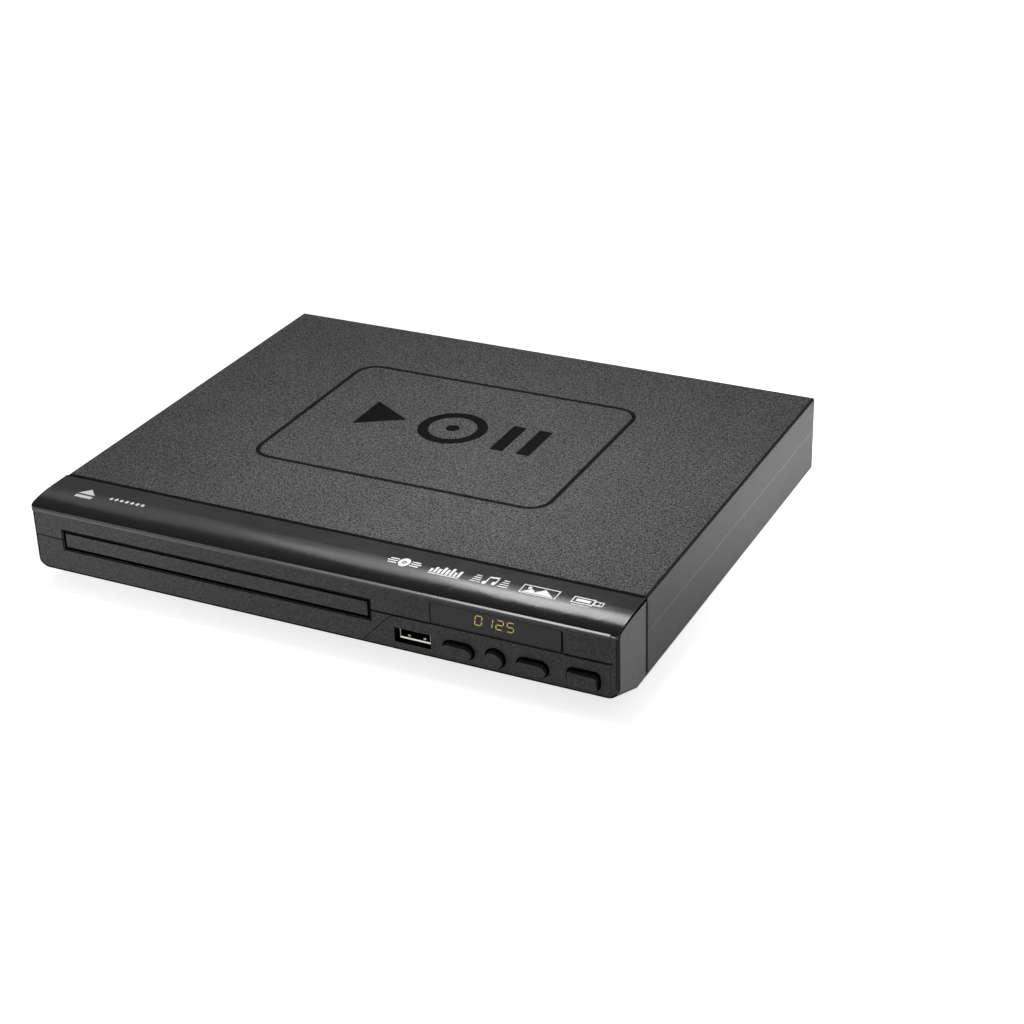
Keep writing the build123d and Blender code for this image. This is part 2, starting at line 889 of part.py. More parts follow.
# Buttons, each with a flange behind the panel and a plunger in front of its switch
switch_tip_y = front_board_y - switch_thickness - stem_length
plunger_end_y = switch_tip_y - button_travel - button_stop_gap


def make_button(name, shape, x):
    face = button_outline(shape, 0)
    face_width = face.bounding_box().size.X
    with BuildPart() as button:
        with BuildSketch(front_plane(panel_back_y)):
            with Locations((x, button_z)):
                add(face)
        extrude(amount=panel_back_y - front_y + button_proud)
        fillet(button.faces().sort_by(Axis.Y)[0].edges(), button_round)
        with BuildSketch(front_plane(panel_back_y + button_flange_thickness)):
            with Locations((x, button_z)):
                Rectangle(face_width + 2 * (button_gap + button_flange), button_flange_height)
        extrude(amount=button_flange_thickness)
        bar(x, button_z, (panel_back_y, plunger_end_y), plunger_diameter)
    save(button, name)


for button_name, (button_shape, button_x) in button_places.items():
    make_button(button_name, button_shape, button_x)

# Memory stick socket: sheet metal shell with two spring bosses, and the tongue inside it
usb_y = (front_y + usb_recess, front_board_y)
with BuildPart() as usb_shell:
    block(about(usb_x, usb_width), usb_y, about(usb_z, usb_thickness))
    hollow_x = about(usb_x, usb_width - 2 * usb_sheet)
    hollow_z = about(usb_z, usb_thickness - 2 * usb_sheet)
    block(hollow_x, (usb_y[0] - overrun, usb_y[1] - usb_tongue_setback), hollow_z, mode=cut)
    spring_z = (hollow_z[0] - usb_sheet / 2, hollow_z[0] + usb_spring_height)
    for x in about(usb_x, usb_spring_spread):
        post(x, usb_y[0] + usb_spring_setback, spring_z, usb_spring_diameter)
save(usb_shell, "usb_shell")

with BuildPart() as usb_tongue:
    tongue_top_z = hollow_z[1] - usb_tongue_gap
    tongue_y = (usb_y[0] + usb_tongue_setback, usb_y[1] - usb_tongue_setback)
    block(about(usb_x, usb_tongue_width), tongue_y, (tongue_top_z - usb_tongue_thickness, tongue_top_z))
save(usb_tongue, "usb_tongue")

# Front board with its switches, display module and remote receiver
board_foot_z = base_z + front_board_foot
with BuildPart() as front_board:
    board_y = (front_board_y, front_board_y + board_thickness)
    board_x = (front_board_left, inner_x - front_board_right)
    block(board_x, board_y, (board_foot_z, ceiling_z - front_board_top))
save(front_board, "front_board")

with BuildPart() as tact_switches:
    for shape, x in button_places.values():
        switch_y = (front_board_y - switch_thickness, front_board_y)
        block(about(x, switch_size), switch_y, about(button_z, switch_size))
        bar(x, button_z, (switch_tip_y, front_board_y), stem_diameter)
save(tact_switches, "tact_switches")

with BuildPart() as display_module:
    module_y = (front_y + bezel_wall + module_gap, front_board_y)
    module_x = display_x - (display_width - module_width) / 2
    block(about(module_x, module_width), module_y, about(display_z, module_height))
save(display_module, "display_module")

with BuildPart() as ir_receiver:
    receiver_y = (front_board_y - switch_thickness, front_board_y)
    receiver_middle = display_x + display_width / 2 - window_ledge - receiver_width / 2
    block(about(receiver_middle, receiver_width), receiver_y, about(display_z, receiver_height))
    with Locations((receiver_middle, receiver_y[0], display_z)):
        Sphere(receiver_lens)
save(ir_receiver, "ir_receiver")

# Tray door
with BuildPart() as tray_door:
    block(about(tray_x, door_width), (front_y, front_y + door_thickness), about(split_z, door_height))
    fillet(tray_door.faces().sort_by(Axis.Y)[0].edges(), soft_edge)
save(tray_door, "tray_door")

# Disc tray: recess for the disc, centre slot open to the rear, rack under the left edge
tray_end_y = tray_front_y + tray_length
rack_after = math.ceil(tray_travel / (math.pi * drive_module)) + 3
tray_rack = rack_outline(tray_left_x + tray_rail, rack_x, gear_y, 3, rack_after, drive_module)
with BuildPart() as disc_tray:
    block(about(tray_x, tray_width), (tray_front_y, tray_end_y), (tray_bottom_z, tray_top_z))
    fillet(disc_tray.edges().filter_by(Axis.Z).group_by(Axis.Y)[-1], tray_rail)
    pocket_x = (tray_left_x + tray_rail, tray_right_x - tray_rail)
    pocket_y = (tray_front_y + tray_lip / 2, tray_end_y + overrun)
    block(pocket_x, pocket_y, (tray_bottom_z - overrun, pocket_z), mode=cut)
    with BuildSketch(Plane.XY.offset(tray_bottom_z)):
        add(tray_rack)
    extrude(amount=pocket_z - tray_bottom_z)
    with BuildSketch(Plane.XY.offset(recess_z)):
        with Locations((tray_x, spindle_y)):
            Circle(recess_radius)
        for side in (-1, 1):
            finger_x = tray_x + side * (recess_radius - finger_radius)
            with Locations((finger_x, tray_front_y + 2 * finger_radius)):
                Circle(finger_radius)
    extrude(amount=recess_depth + overrun, mode=cut)
    with BuildSketch(Plane.XY.offset(recess_z - small_step)):
        with Locations((tray_x, spindle_y)):
            Circle(small_disc_diameter / 2 + disc_clearance)
    extrude(amount=recess_depth, mode=cut)
    with BuildSketch(Plane.XY.offset(tray_bottom_z - overrun)):
        with Locations((tray_x, spindle_y)):
            Circle(slot_width / 2)
        slot_length = tray_end_y + overrun - spindle_y
        with Locations((tray_x, spindle_y + slot_length / 2)):
            Rectangle(slot_width, slot_length)
    extrude(amount=tray_height + 2 * overrun, mode=cut)
save(disc_tray, "disc_tray")

# Loader frame: two rails, front plate with the gear posts, rear bar and mounting ears
ledge_z = tray_bottom_z - ledge_gap
with BuildPart() as loader_frame:
    frame_span = (frame_y, frame_end_y)
    plate_x = about(tray_x, 2 * (frame_x + frame_wall))
    plate_end_y = slider_back_y + fit + rib_thickness
    for side in (-1, 1):
        inside = tray_x + side * frame_x
        wall_x = sorted((inside, inside + side * frame_wall))
        block(wall_x, (frame_y, slope_end_y), (floor_z + front_lift + fit, frame_top_z))
        block(wall_x, (slope_end_y, frame_end_y), (frame_z, frame_top_z))
        ledge_x = sorted((inside + side * frame_wall / 2, inside - side * (rail_gap + tray_rail - fit)))
        block(ledge_x, frame_span, (ledge_z - ledge_thickness, ledge_z))
        for share in tab_shares:
            tab_y = about(frame_y + frame_length * share, tab_length)
            tab_x = sorted((inside + side * frame_wall / 2, inside - side * tab_width))
            block(tab_x, tab_y, (frame_top_z - tab_thickness, frame_top_z))
        for depth in (ear_front, ear_rear):
            ear_x = sorted((inside + side * frame_wall / 2, inside + side * (frame_wall + ear_width)))
            block(ear_x, about(front_y + depth, ear_length), (ear_z, ear_z + ear_thickness))
    block(plate_x, (slope_end_y, plate_end_y), (frame_z, plate_z))
    block(plate_x, (frame_end_y - rear_bar_length, frame_end_y), (frame_z, frame_z + rear_bar_height))
    rib_x = about(tray_x, 2 * (slider_travel + slider_end + rib_reach))
    rib_front_y = slider_front_y - fit - rib_thickness
    for rib_y in (rib_front_y, slider_back_y + fit):
        block(rib_x, (rib_y, rib_y + rib_thickness), (frame_z, plate_z + rib_height))
    for x, top in ((gear_x, pocket_z - side_gap), (pulley_x, pulley_top_z)):
        post(x, gear_y, (frame_z, wheel_z - 2 * side_gap), gear_shoulder)
        post(x, gear_y, (frame_z, top), gear_post)
    for x, y in loader_post_places:
        ear_hole = (ear_z - overrun, ear_z + ear_thickness + overrun)
        post(x, y, ear_hole, screw_diameter + 2 * fit, mode=cut)
    with Locations((tray_x, pivot_y, pivot_z)):
        shaft_hole = 2 * (frame_x + frame_wall + overrun)
        Cylinder(pivot_diameter / 2 + slip, shaft_hole, rotation=(0, 90, 0), mode=cut)
save(loader_frame, "loader_frame")

# Drive gear: wheel below, pinion in the tray's rack above
drive_wheel_face = gear_outline(wheel_teeth, wheel_module, 0)
drive_pinion_face = gear_outline(drive_teeth, drive_module, math.pi + math.pi / drive_teeth)
gear_bore = gear_post + 2 * slip
with BuildPart() as drive_gear:
    with BuildSketch(Plane.XY.offset(wheel_z)):
        with Locations((gear_x, gear_y)):
            add(drive_wheel_face)
    extrude(amount=wheel_thickness)
    with BuildSketch(Plane.XY.offset(tray_bottom_z + side_gap)):
        with Locations((gear_x, gear_y)):
            add(drive_pinion_face)
    extrude(amount=pocket_z - tray_bottom_z - 2 * side_gap)
    post(gear_x, gear_y, (wheel_z - side_gap, tray_bottom_z + 2 * side_gap), 2 * hub_radius)
    post(gear_x, gear_y, (wheel_z - overrun, pocket_z), gear_bore, mode=cut)
save(drive_gear, "drive_gear")


def add_pulley(x, radius):
    """Belt pulley: seat between two rims."""
    post(x, gear_y, (pulley_z, pulley_top_z), 2 * radius)
    post(x, gear_y, (pulley_z, pulley_z + pulley_rim), 2 * (radius + pulley_flange))
    post(x, gear_y, (pulley_top_z - pulley_rim, pulley_top_z), 2 * (radius + pulley_flange))


# Pulley gear: pinion below, belt pulley above
pulley_pinion_face = gear_outline(pulley_teeth, wheel_module, math.pi + math.pi / pulley_teeth)
with BuildPart() as pulley_gear:
    with BuildSketch(Plane.XY.offset(wheel_z - side_gap)):
        with Locations((pulley_x, gear_y)):
            add(pulley_pinion_face)
    extrude(amount=pulley_z - wheel_z + side_gap)
    add_pulley(pulley_x, pulley_radius)
    post(pulley_x, gear_y, (wheel_z - overrun, pulley_top_z + overrun), gear_bore, mode=cut)
save(pulley_gear, "pulley_gear")

with BuildPart() as motor_pulley:
    add_pulley(motor_x, motor_pulley_radius)
    post(motor_x, gear_y, (pulley_z - overrun, pulley_top_z + overrun), motor_shaft + 2 * slip, mode=cut)
save(motor_pulley, "motor_pulley")

with BuildPart() as loading_motor:
    post(motor_x, gear_y, (plate_z, plate_z + motor_height), motor_diameter)
    fillet(loading_motor.edges().group_by(Axis.Z)[-1], soft_edge)
    post(motor_x, gear_y, (plate_z, pulley_top_z), motor_shaft)
save(loading_motor, "loading_motor")

# Belt around the two pulleys, clear of their seats
with BuildPart() as drive_belt:
    belt_low_z = pulley_z + pulley_rim + running_gap
    belt_high_z = pulley_top_z - pulley_rim - running_gap
    for grow, belt_mode in ((running_gap + belt_thickness, Mode.ADD), (running_gap, Mode.SUBTRACT)):
        with BuildSketch(Plane.XY.offset(belt_low_z)):
            with Locations((pulley_x, gear_y)):
                Circle(pulley_radius + grow)
            with Locations((motor_x, gear_y)):
                Circle(motor_pulley_radius + grow)
            make_hull()
        extrude(amount=belt_high_z - belt_low_z, mode=belt_mode)
save(drive_belt, "drive_belt")

# Cam slider: its slanted slot lets the front of the traverse down
slot_size = cam_pin_diameter + 2 * slider_play
with BuildPart() as cam_slider:
    slider_x = (tray_x - slider_travel - slider_end, tray_x + slider_end)
    slider_top_z = cam_pin_z + slot_size / 2 + slider_margin
    block(slider_x, (slider_front_y, slider_back_y), (plate_z + fit, slider_top_z))
    with BuildSketch(front_plane(slider_back_y + overrun)):
        slot_middle = (tray_x - slider_travel / 2, cam_pin_z - cam_drop / 2)
        SlotCenterPoint(slot_middle, (tray_x, cam_pin_z), slot_size)
    extrude(amount=slider_thickness + 2 * overrun, mode=cut)
save(cam_slider, "cam_slider")

# Traverse base: steel plate that carries the spindle and the pickup
with BuildPart() as traverse_base:
    deck_x = (tray_x - traverse_left, tray_x + traverse_right)
    block(deck_x, (traverse_y, spindle_y + traverse_rear), (deck_bottom_z, deck_z))
    fillet(traverse_base.edges().filter_by(Axis.Z), traverse_plate)
    window_y = (spindle_y + window_front, spindle_y + window_rear)
    deck_cut = (deck_bottom_z - overrun, deck_z + overrun)
    block(about(tray_x, window_width), window_y, deck_cut, mode=cut)
    lug_span = (spindle_y + traverse_rear - pivot_lug / 2, pivot_y + pivot_lug / 2)
    for x in (deck_x[0] + pivot_lug_width / 2, deck_x[1] - pivot_lug_width / 2):
        block(about(x, pivot_lug_width), lug_span, about(pivot_z, pivot_lug - traverse_plate))
    with Locations((tray_x, pivot_y, pivot_z)):
        Cylinder(pivot_diameter / 2 + slip, 2 * frame_x, rotation=(0, 90, 0), mode=cut)
    for x in about(tray_x, rod_spread):
        for y_span in ((rod_front_y, window_y[0]), (window_y[1], rod_rear_y)):
            block(about(x, holder_width), y_span, (deck_bottom_z, deck_z + holder_height))
        rod_span = (rod_front_y - overrun, rod_rear_y + overrun)
        bar(x, rod_z, rod_span, rod_diameter + 2 * slip, mode=cut)
    tab_x = about(tray_x, cam_tab_width)
    tab_top_z = cam_pin_z + cam_pin_diameter
    block(tab_x, (traverse_y, traverse_y + cam_tab_thickness), (deck_bottom_z, tab_top_z))
    bar(tray_x, cam_pin_z, (traverse_y - cam_pin_length, traverse_y + cam_tab_thickness), cam_pin_diameter)
    post(tray_x, spindle_y, deck_cut, bearing_diameter + 2 * fit, mode=cut)
    post(feed_x, feed_motor_y, deck_cut, 2 * (feed_post + fit), mode=cut)
    post(feed_x, feed_y, (deck_bottom_z, feed_rack_z + feed_rack_height), feed_post)
save(traverse_base, "traverse_base")

with BuildPart() as pivot_shaft:
    with Locations((tray_x, pivot_y, pivot_z)):
        Cylinder(pivot_diameter / 2, 2 * (frame_x + frame_wall - pivot_end_gap), rotation=(0, 90, 0))
save(pivot_shaft, "pivot_shaft")

with BuildPart() as guide_rods:
    for x in about(tray_x, rod_spread):
        bar(x, rod_z, (rod_front_y, rod_rear_y), rod_diameter)
save(guide_rods, "guide_rods")

# Spindle motor and turntable
table_z = disc_z - table_thickness
rotor_z = table_z - rotor_height
with BuildPart() as spindle_motor:
    post(tray_x, spindle_y, (deck_z, deck_z + stator_flange_thickness), stator_flange)
    post(tray_x, spindle_y, (deck_z, rotor_z - running_gap), rotor_diameter)
    post(tray_x, spindle_y, (deck_bottom_z - bearing_height, deck_z), bearing_diameter)
    post(tray_x, spindle_y, (deck_z, disc_z), spindle_diameter)
save(spindle_motor, "spindle_motor")

with BuildPart() as turntable:
    post(tray_x, spindle_y, (table_z, disc_z), table_diameter)
    post(tray_x, spindle_y, (rotor_z, table_z), rotor_diameter)
    post(tray_x, spindle_y, (disc_z, disc_z + hub_height), hub_diameter)
    chamfer(turntable.edges().group_by(Axis.Z)[-1], hub_chamfer)
    bore_span = (rotor_z - overrun, disc_z + side_gap)
    post(tray_x, spindle_y, bore_span, spindle_diameter + 2 * slip, mode=cut)
save(turntable, "turntable")

# Pickup: body on the rods, lens, and the rack on its right
feed_before = math.ceil(pickup_travel / (math.pi * feed_module)) + 2
rack_back_x = tray_x + feed_line - feed_bar
feed_rack = rack_outline(rack_back_x, tray_x + feed_line, feed_y, feed_before, 2, feed_module)
body_top_z = deck_z + pickup_height - pickup_sink
with BuildPart() as pickup_body:
    pickup_y = (lens_y - pickup_front, lens_y + pickup_rear)
    block(about(tray_x, pickup_width), pickup_y, (deck_z - pickup_sink, body_top_z))
    lug_y = (lens_y - lug_front, lens_y + lug_rear)
    for x in about(tray_x, rod_spread):
        block(about(x, lug_width), lug_y, about(rod_z, lug_height))
    rack_z = (feed_rack_z, feed_rack_z + feed_rack_height)
    block((tray_x + rod_spread / 2, rack_back_x + feed_bar / 2), lug_y, rack_z)
    with BuildSketch(Plane.XY.offset(feed_rack_z)):
        add(feed_rack)
    extrude(amount=feed_rack_height)
    for x in about(tray_x, rod_spread):
        bar(x, rod_z, (lug_y[0] - overrun, lug_y[1] + overrun), rod_diameter + 2 * slip, mode=cut)
    actuator_z = (body_top_z, body_top_z + actuator_height)
    block(about(tray_x, actuator_width), about(lens_y, actuator_length), actuator_z)
save(pickup_body, "pickup_body")

with BuildPart() as pickup_lens:
    lens_z = body_top_z + actuator_height
    post(tray_x, lens_y, (lens_z, lens_z + lens_height), lens_diameter)
    fillet(pickup_lens.edges().group_by(Axis.Z)[-1], lens_height / 2)
save(pickup_lens, "pickup_lens")

# Feed gear, motor and pinion
feed_wheel_face = gear_outline(feed_wheel_teeth, feed_wheel_module, math.pi / 2)
feed_pinion_face = gear_outline(feed_teeth, feed_module, math.pi + math.pi / feed_teeth)
motor_pinion_phase = math.pi / feed_motor_teeth - math.pi / 2
motor_pinion_face = gear_outline(feed_motor_teeth, feed_wheel_module, motor_pinion_phase)
feed_rack_top_z = feed_rack_z + feed_rack_height
with BuildPart() as feed_gear:
    with BuildSketch(Plane.XY.offset(feed_wheel_z)):
        with Locations((feed_x, feed_y)):
            add(feed_wheel_face)
    extrude(amount=feed_wheel_thickness)
    with BuildSketch(Plane.XY.offset(feed_wheel_z)):
        with Locations((feed_x, feed_y)):
            add(feed_pinion_face)
    extrude(amount=feed_rack_top_z - feed_wheel_z)
    post(feed_x, feed_y, (deck_z, feed_rack_top_z + overrun), feed_post + 2 * slip, mode=cut)
save(feed_gear, "feed_gear")

with BuildPart() as feed_motor:
    post(feed_x, feed_motor_y, (deck_bottom_z - feed_motor_height, deck_bottom_z), feed_motor_diameter)
    post(feed_x, feed_motor_y, (deck_bottom_z, feed_wheel_z + feed_wheel_thickness), feed_shaft)
save(feed_motor, "feed_motor")

with BuildPart() as feed_pinion:
    with BuildSketch(Plane.XY.offset(feed_wheel_z)):
        with Locations((feed_x, feed_motor_y)):
            add(motor_pinion_face)
            Circle(feed_shaft / 2 + slip, mode=cut)
    extrude(amount=feed_wheel_thickness)
save(feed_pinion, "feed_pinion")

# Clamp: bridge across the loader, puck and magnet
with BuildPart() as clamp_bridge:
    bridge_span = (bridge_z, bridge_z + bridge_thickness)
    block(plate_x, about(spindle_y, bridge_depth), bridge_span)
    fillet(clamp_bridge.edges().filter_by(Axis.Z), frame_wall)
    bridge_cut = (bridge_z - overrun, bridge_span[1] + overrun)
    post(tray_x, spindle_y, bridge_cut, bridge_hole, mode=cut)
save(clamp_bridge, "clamp_bridge")

puck_top_z = bridge_span[1] + puck_lift + puck_flange_thickness
with BuildPart() as clamp_puck:
    post(tray_x, spindle_y, (disc_z, puck_top_z), puck_diameter)
    post(tray_x, spindle_y, (puck_top_z - puck_flange_thickness, puck_top_z), puck_flange)
    post(tray_x, spindle_y, (disc_z - overrun, disc_z + puck_hollow_depth), puck_hollow, mode=cut)
save(clamp_puck, "clamp_puck")

with BuildPart() as clamp_magnet:
    post(tray_x, spindle_y, (puck_top_z, puck_top_z + magnet_thickness), magnet_diameter)
    fillet(clamp_magnet.edges().group_by(Axis.Z)[-1], soft_edge)
save(clamp_magnet, "clamp_magnet")

# Rear panel with cut-outs for the sockets and a row of vents
hdmi_z = board_top_z + hdmi_height / 2
inlet_z = board_top_z + inlet_height / 2
with BuildPart() as rear_panel:
    panel_y = (rear_back_y, rear_face_y)
    cut_y = (rear_back_y - overrun, rear_face_y + overrun)
    block((-inner_x + fit, inner_x - fit), panel_y, (floor_z + fit, ceiling_z - fit))
    for x in jack_places:
        bar(x, jack_z, cut_y, jack_bore + 2 * fit, mode=cut)
    block(about(hdmi_x, hdmi_width + 2 * fit), cut_y, about(hdmi_z, hdmi_height + 2 * fit), mode=cut)
    block(about(inlet_x, inlet_width + 2 * fit), cut_y, about(inlet_z, inlet_height + 2 * fit), mode=cut)
    with BuildSketch(front_plane(rear_face_y + overrun)):
        with Locations((vent_x, split_z)):
            with GridLocations(vent_pitch, 0, vent_count, 1):
                SlotOverall(vent_length, vent_width, rotation=90)
    extrude(amount=rear_thickness + 2 * overrun, mode=cut)
save(rear_panel, "rear_panel")

# Phono sockets: block on the board, coloured inserts, metal barrels
jack_end_y = rear_y + jack_reach
ring_y = rear_face_y + jack_ring_thickness
with BuildPart() as jack_block:
    block_x = (jack_places[0] - jack_pitch / 2, jack_places[-1] + jack_pitch / 2)
    block(block_x, (rear_back_y - jack_block_depth, rear_back_y), (board_top_z, base_z + jack_block_height))
save(jack_block, "jack_block")


def make_insert(name, x):
    with BuildPart() as insert:
        bar(x, jack_z, (rear_back_y, jack_end_y - jack_tip), jack_bore - 2 * slip)
        bar(x, jack_z, (rear_face_y, ring_y), jack_ring)
        bar(x, jack_z, (jack_end_y - jack_pin_depth, jack_end_y), jack_pin_bore, mode=cut)
    save(insert, name)


for jack_name, jack_place in zip(("video", "left", "right"), jack_places):
    make_insert(f"{jack_name}_jack_insert", jack_place)

with BuildPart() as jack_barrels:
    for x in jack_places:
        bar(x, jack_z, (ring_y, jack_end_y), jack_diameter)
        bar(x, jack_z, (rear_face_y, jack_end_y + overrun), jack_bore, mode=cut)
save(jack_barrels, "jack_barrels")

# Digital video socket on the main board
hdmi_y = (rear_face_y - hdmi_depth, rear_face_y)
with BuildPart() as hdmi_shell:
    block(about(hdmi_x, hdmi_width), hdmi_y, about(hdmi_z, hdmi_height))
    chamfer(hdmi_shell.edges().filter_by(Axis.Y).group_by(Axis.Z)[0], hdmi_height / 4)
    mouth = hdmi_shell.faces().sort_by(Axis.Y)[-1]
    offset(openings=mouth, amount=-hdmi_sheet)
save(hdmi_shell, "hdmi_shell")

with BuildPart() as hdmi_tongue:
    hdmi_tongue_y = (hdmi_y[0] + hdmi_sheet, rear_face_y - hdmi_setback)
    block(about(hdmi_x, hdmi_tongue_width), hdmi_tongue_y, about(hdmi_z, hdmi_tongue_height))
save(hdmi_tongue, "hdmi_tongue")

# Mains inlet on the power board, with its two pins
with BuildPart() as mains_inlet:
    inlet_y = (rear_face_y - inlet_depth, rear_face_y)
    block(about(inlet_x, inlet_width), inlet_y, about(inlet_z, inlet_height))
    with BuildSketch(front_plane(rear_face_y + overrun)):
        with Locations((inlet_x, inlet_z)):
            SlotOverall(inlet_mouth_width, inlet_mouth_height)
    extrude(amount=inlet_mouth_depth + overrun, mode=cut)
save(mains_inlet, "mains_inlet")

with BuildPart() as inlet_pins:
    pin_y = (rear_face_y - inlet_mouth_depth, rear_face_y - inlet_pin_setback)
    for x in about(inlet_x, inlet_pin_pitch):
        bar(x, inlet_z, pin_y, inlet_pin_diameter)
    fillet(inlet_pins.faces().group_by(Axis.Y)[-1].edges(), soft_edge)
save(inlet_pins, "inlet_pins")

# Boards inside, on posts
with BuildPart() as main_board:
    block((main_left, main_right_x), (main_front_y, board_end_y), (board_z, board_top_z))
    for x, y in main_post_places:
        post(x, y, (board_z - overrun, board_top_z + overrun), screw_diameter + 2 * fit, mode=cut)
save(main_board, "main_board")

with BuildPart() as power_board:
    block((power_left, power_right), (power_front_y, board_end_y), (board_z, board_top_z))
    for x, y in power_post_places:
        post(x, y, (board_z - overrun, board_top_z + overrun), screw_diameter + 2 * fit, mode=cut)
save(power_board, "power_board")

with BuildPart() as decoder_chip:
    chip_y = front_y + chip_depth
    chip_top_z = board_top_z + chip_thickness
    block(about(chip_x, chip_size), about(chip_y, chip_size), (board_top_z, chip_top_z))
save(decoder_chip, "decoder_chip")

with BuildPart() as heat_sink:
    block(about(chip_x, sink_size), about(chip_y, sink_size), (chip_top_z, chip_top_z + sink_base))
    fin_pitch = (sink_size - sink_fin) / (sink_fins - 1)
    for number in range(sink_fins):
        fin_x = chip_x - (sink_size - sink_fin) / 2 + number * fin_pitch
        block(about(fin_x, sink_fin), about(chip_y, sink_size), (chip_top_z, chip_top_z + sink_height))
save(heat_sink, "heat_sink")

power_middle_y = (power_front_y + board_end_y) / 2
with BuildPart() as capacitors:
    can_z = (board_top_z, board_top_z + capacitor_height)
    for number in range(capacitor_count):
        can_x = chip_x + (number - (capacitor_count - 1) / 2) * capacitor_pitch
        post(can_x, front_y + capacitor_depth, can_z, capacitor_diameter)
    post(reservoir_x, power_middle_y, (board_top_z, board_top_z + reservoir_height), reservoir_diameter)
    fillet(capacitors.edges().group_by(Axis.Z)[-1], soft_edge)
save(capacitors, "capacitors")

with BuildPart() as transformer:
    coil_z = (board_top_z, board_top_z + transformer_height)
    block(about(transformer_x, transformer_width), about(power_middle_y, transformer_depth), coil_z)
    core_z = (board_top_z + core_lip, board_top_z + transformer_height + core_lip)
    core_depth = transformer_depth + 2 * core_lip
    block(about(transformer_x, core_width), about(power_middle_y, core_depth), core_z)
save(transformer, "transformer")

# Ribbon from the front board to the main board, and lead from the power board
with BuildPart() as front_ribbon:
    with BuildSketch(Plane.YZ.offset(ribbon_x - ribbon_width / 2)):
        with BuildLine():
            ribbon_y = front_board_y + board_thickness
            ribbon_z = board_top_z + ribbon_rise
            FilletPolyline(
                (ribbon_y, ribbon_z),
                ((ribbon_y + main_front_y) / 2, ribbon_z),
                ((ribbon_y + main_front_y) / 2, board_top_z + ribbon_thickness / 2),
                (main_front_y + ribbon_land, board_top_z + ribbon_thickness / 2),
                radius=ribbon_radius,
            )
        trace(line_width=ribbon_thickness)
    extrude(amount=ribbon_width)
save(front_ribbon, "front_ribbon")

with BuildPart() as power_lead:
    with BuildSketch(front_plane(power_middle_y + lead_width)):
        with BuildLine():
            lead_z = board_top_z + lead_arch
            FilletPolyline(
                (power_right - board_inset / 2, board_top_z),
                (power_right - board_inset / 2, lead_z),
                (main_left + board_inset / 2, lead_z),
                (main_left + board_inset / 2, board_top_z),
                radius=ribbon_radius,
            )
        trace(line_width=ribbon_thickness)
    extrude(amount=lead_width)
save(power_lead, "power_lead")

# Feet
with BuildPart() as feet:
    for x, y in foot_places:
        post(x, y, (0, base_z + foot_seat), foot_diameter)
    fillet(feet.edges().group_by(Axis.Z)[0], soft_edge)
save(feet, "feet")


def add_screw(x, y, seat_z, length, upward):
    """Screw with its head against seat_z and its shank running up or down from there."""
    head_z = seat_z - upward * screw_head_height
    tip_z = seat_z + upward * length
    post(x, y, tuple(sorted((head_z, seat_z))), screw_head)
    post(x, y, tuple(sorted((head_z, tip_z))), screw_diameter)


with BuildPart() as case_screws:
    for x, y in case_post_places:
        add_screw(x, y, base_z + screw_seat, screw_length, 1)
save(case_screws, "case_screws")

with BuildPart() as inner_screws:
    for x, y in loader_post_places:
        add_screw(x, y, ear_z + ear_thickness, ear_thickness + ear_height - screw_tip_gap, -1)
    for x, y in board_post_places:
        add_screw(x, y, board_top_z, board_lift + board_thickness - screw_tip_gap, -1)
save(inner_screws, "inner_screws")
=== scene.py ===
import json
import math

import bmesh
import bpy
from mathutils import Euler, Matrix, Vector


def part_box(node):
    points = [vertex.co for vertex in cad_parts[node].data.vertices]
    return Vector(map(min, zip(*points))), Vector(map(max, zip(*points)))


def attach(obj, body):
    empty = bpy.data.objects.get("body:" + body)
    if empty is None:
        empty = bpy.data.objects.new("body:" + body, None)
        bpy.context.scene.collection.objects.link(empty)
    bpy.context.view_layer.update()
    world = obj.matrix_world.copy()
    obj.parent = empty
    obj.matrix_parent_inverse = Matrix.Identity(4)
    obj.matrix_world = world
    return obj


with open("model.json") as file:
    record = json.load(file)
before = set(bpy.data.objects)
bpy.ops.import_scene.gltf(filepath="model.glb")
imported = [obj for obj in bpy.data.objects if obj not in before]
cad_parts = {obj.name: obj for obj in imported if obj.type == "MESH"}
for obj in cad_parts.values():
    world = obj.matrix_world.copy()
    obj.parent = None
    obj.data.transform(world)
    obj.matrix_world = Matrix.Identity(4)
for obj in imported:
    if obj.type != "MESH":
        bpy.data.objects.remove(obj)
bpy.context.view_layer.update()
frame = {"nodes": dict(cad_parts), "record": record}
nodes = frame["nodes"]
scene = bpy.context.scene

MM = 0.001


def box(name):
    """Lowest and highest corner of a CAD node, in millimetres."""
    return [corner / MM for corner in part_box(name)]


def middle(name):
    """Middle of a CAD node's box, in millimetres."""
    low, high = box(name)
    return (low + high) / 2


# Places on the player, in millimetres, read from the frame
SIDE_X = box("top_cover")[1].x
TOP_Z = box("top_cover")[1].z
BODY_Y = box("top_cover")[0].y
REAR_Y = box("rear_panel")[1].y
BASE_Z = box("bottom_case")[0].z
SEAM_Y = box("hood")[1].y
LIP_Y = box("hood")[0].y
LIP_Z = box("hood")[0].z
FRONT_Y = box("tray_door")[0].y
SPLIT_Z = middle("tray_door").z
BUTTON_Y = box("power_button")[0].y

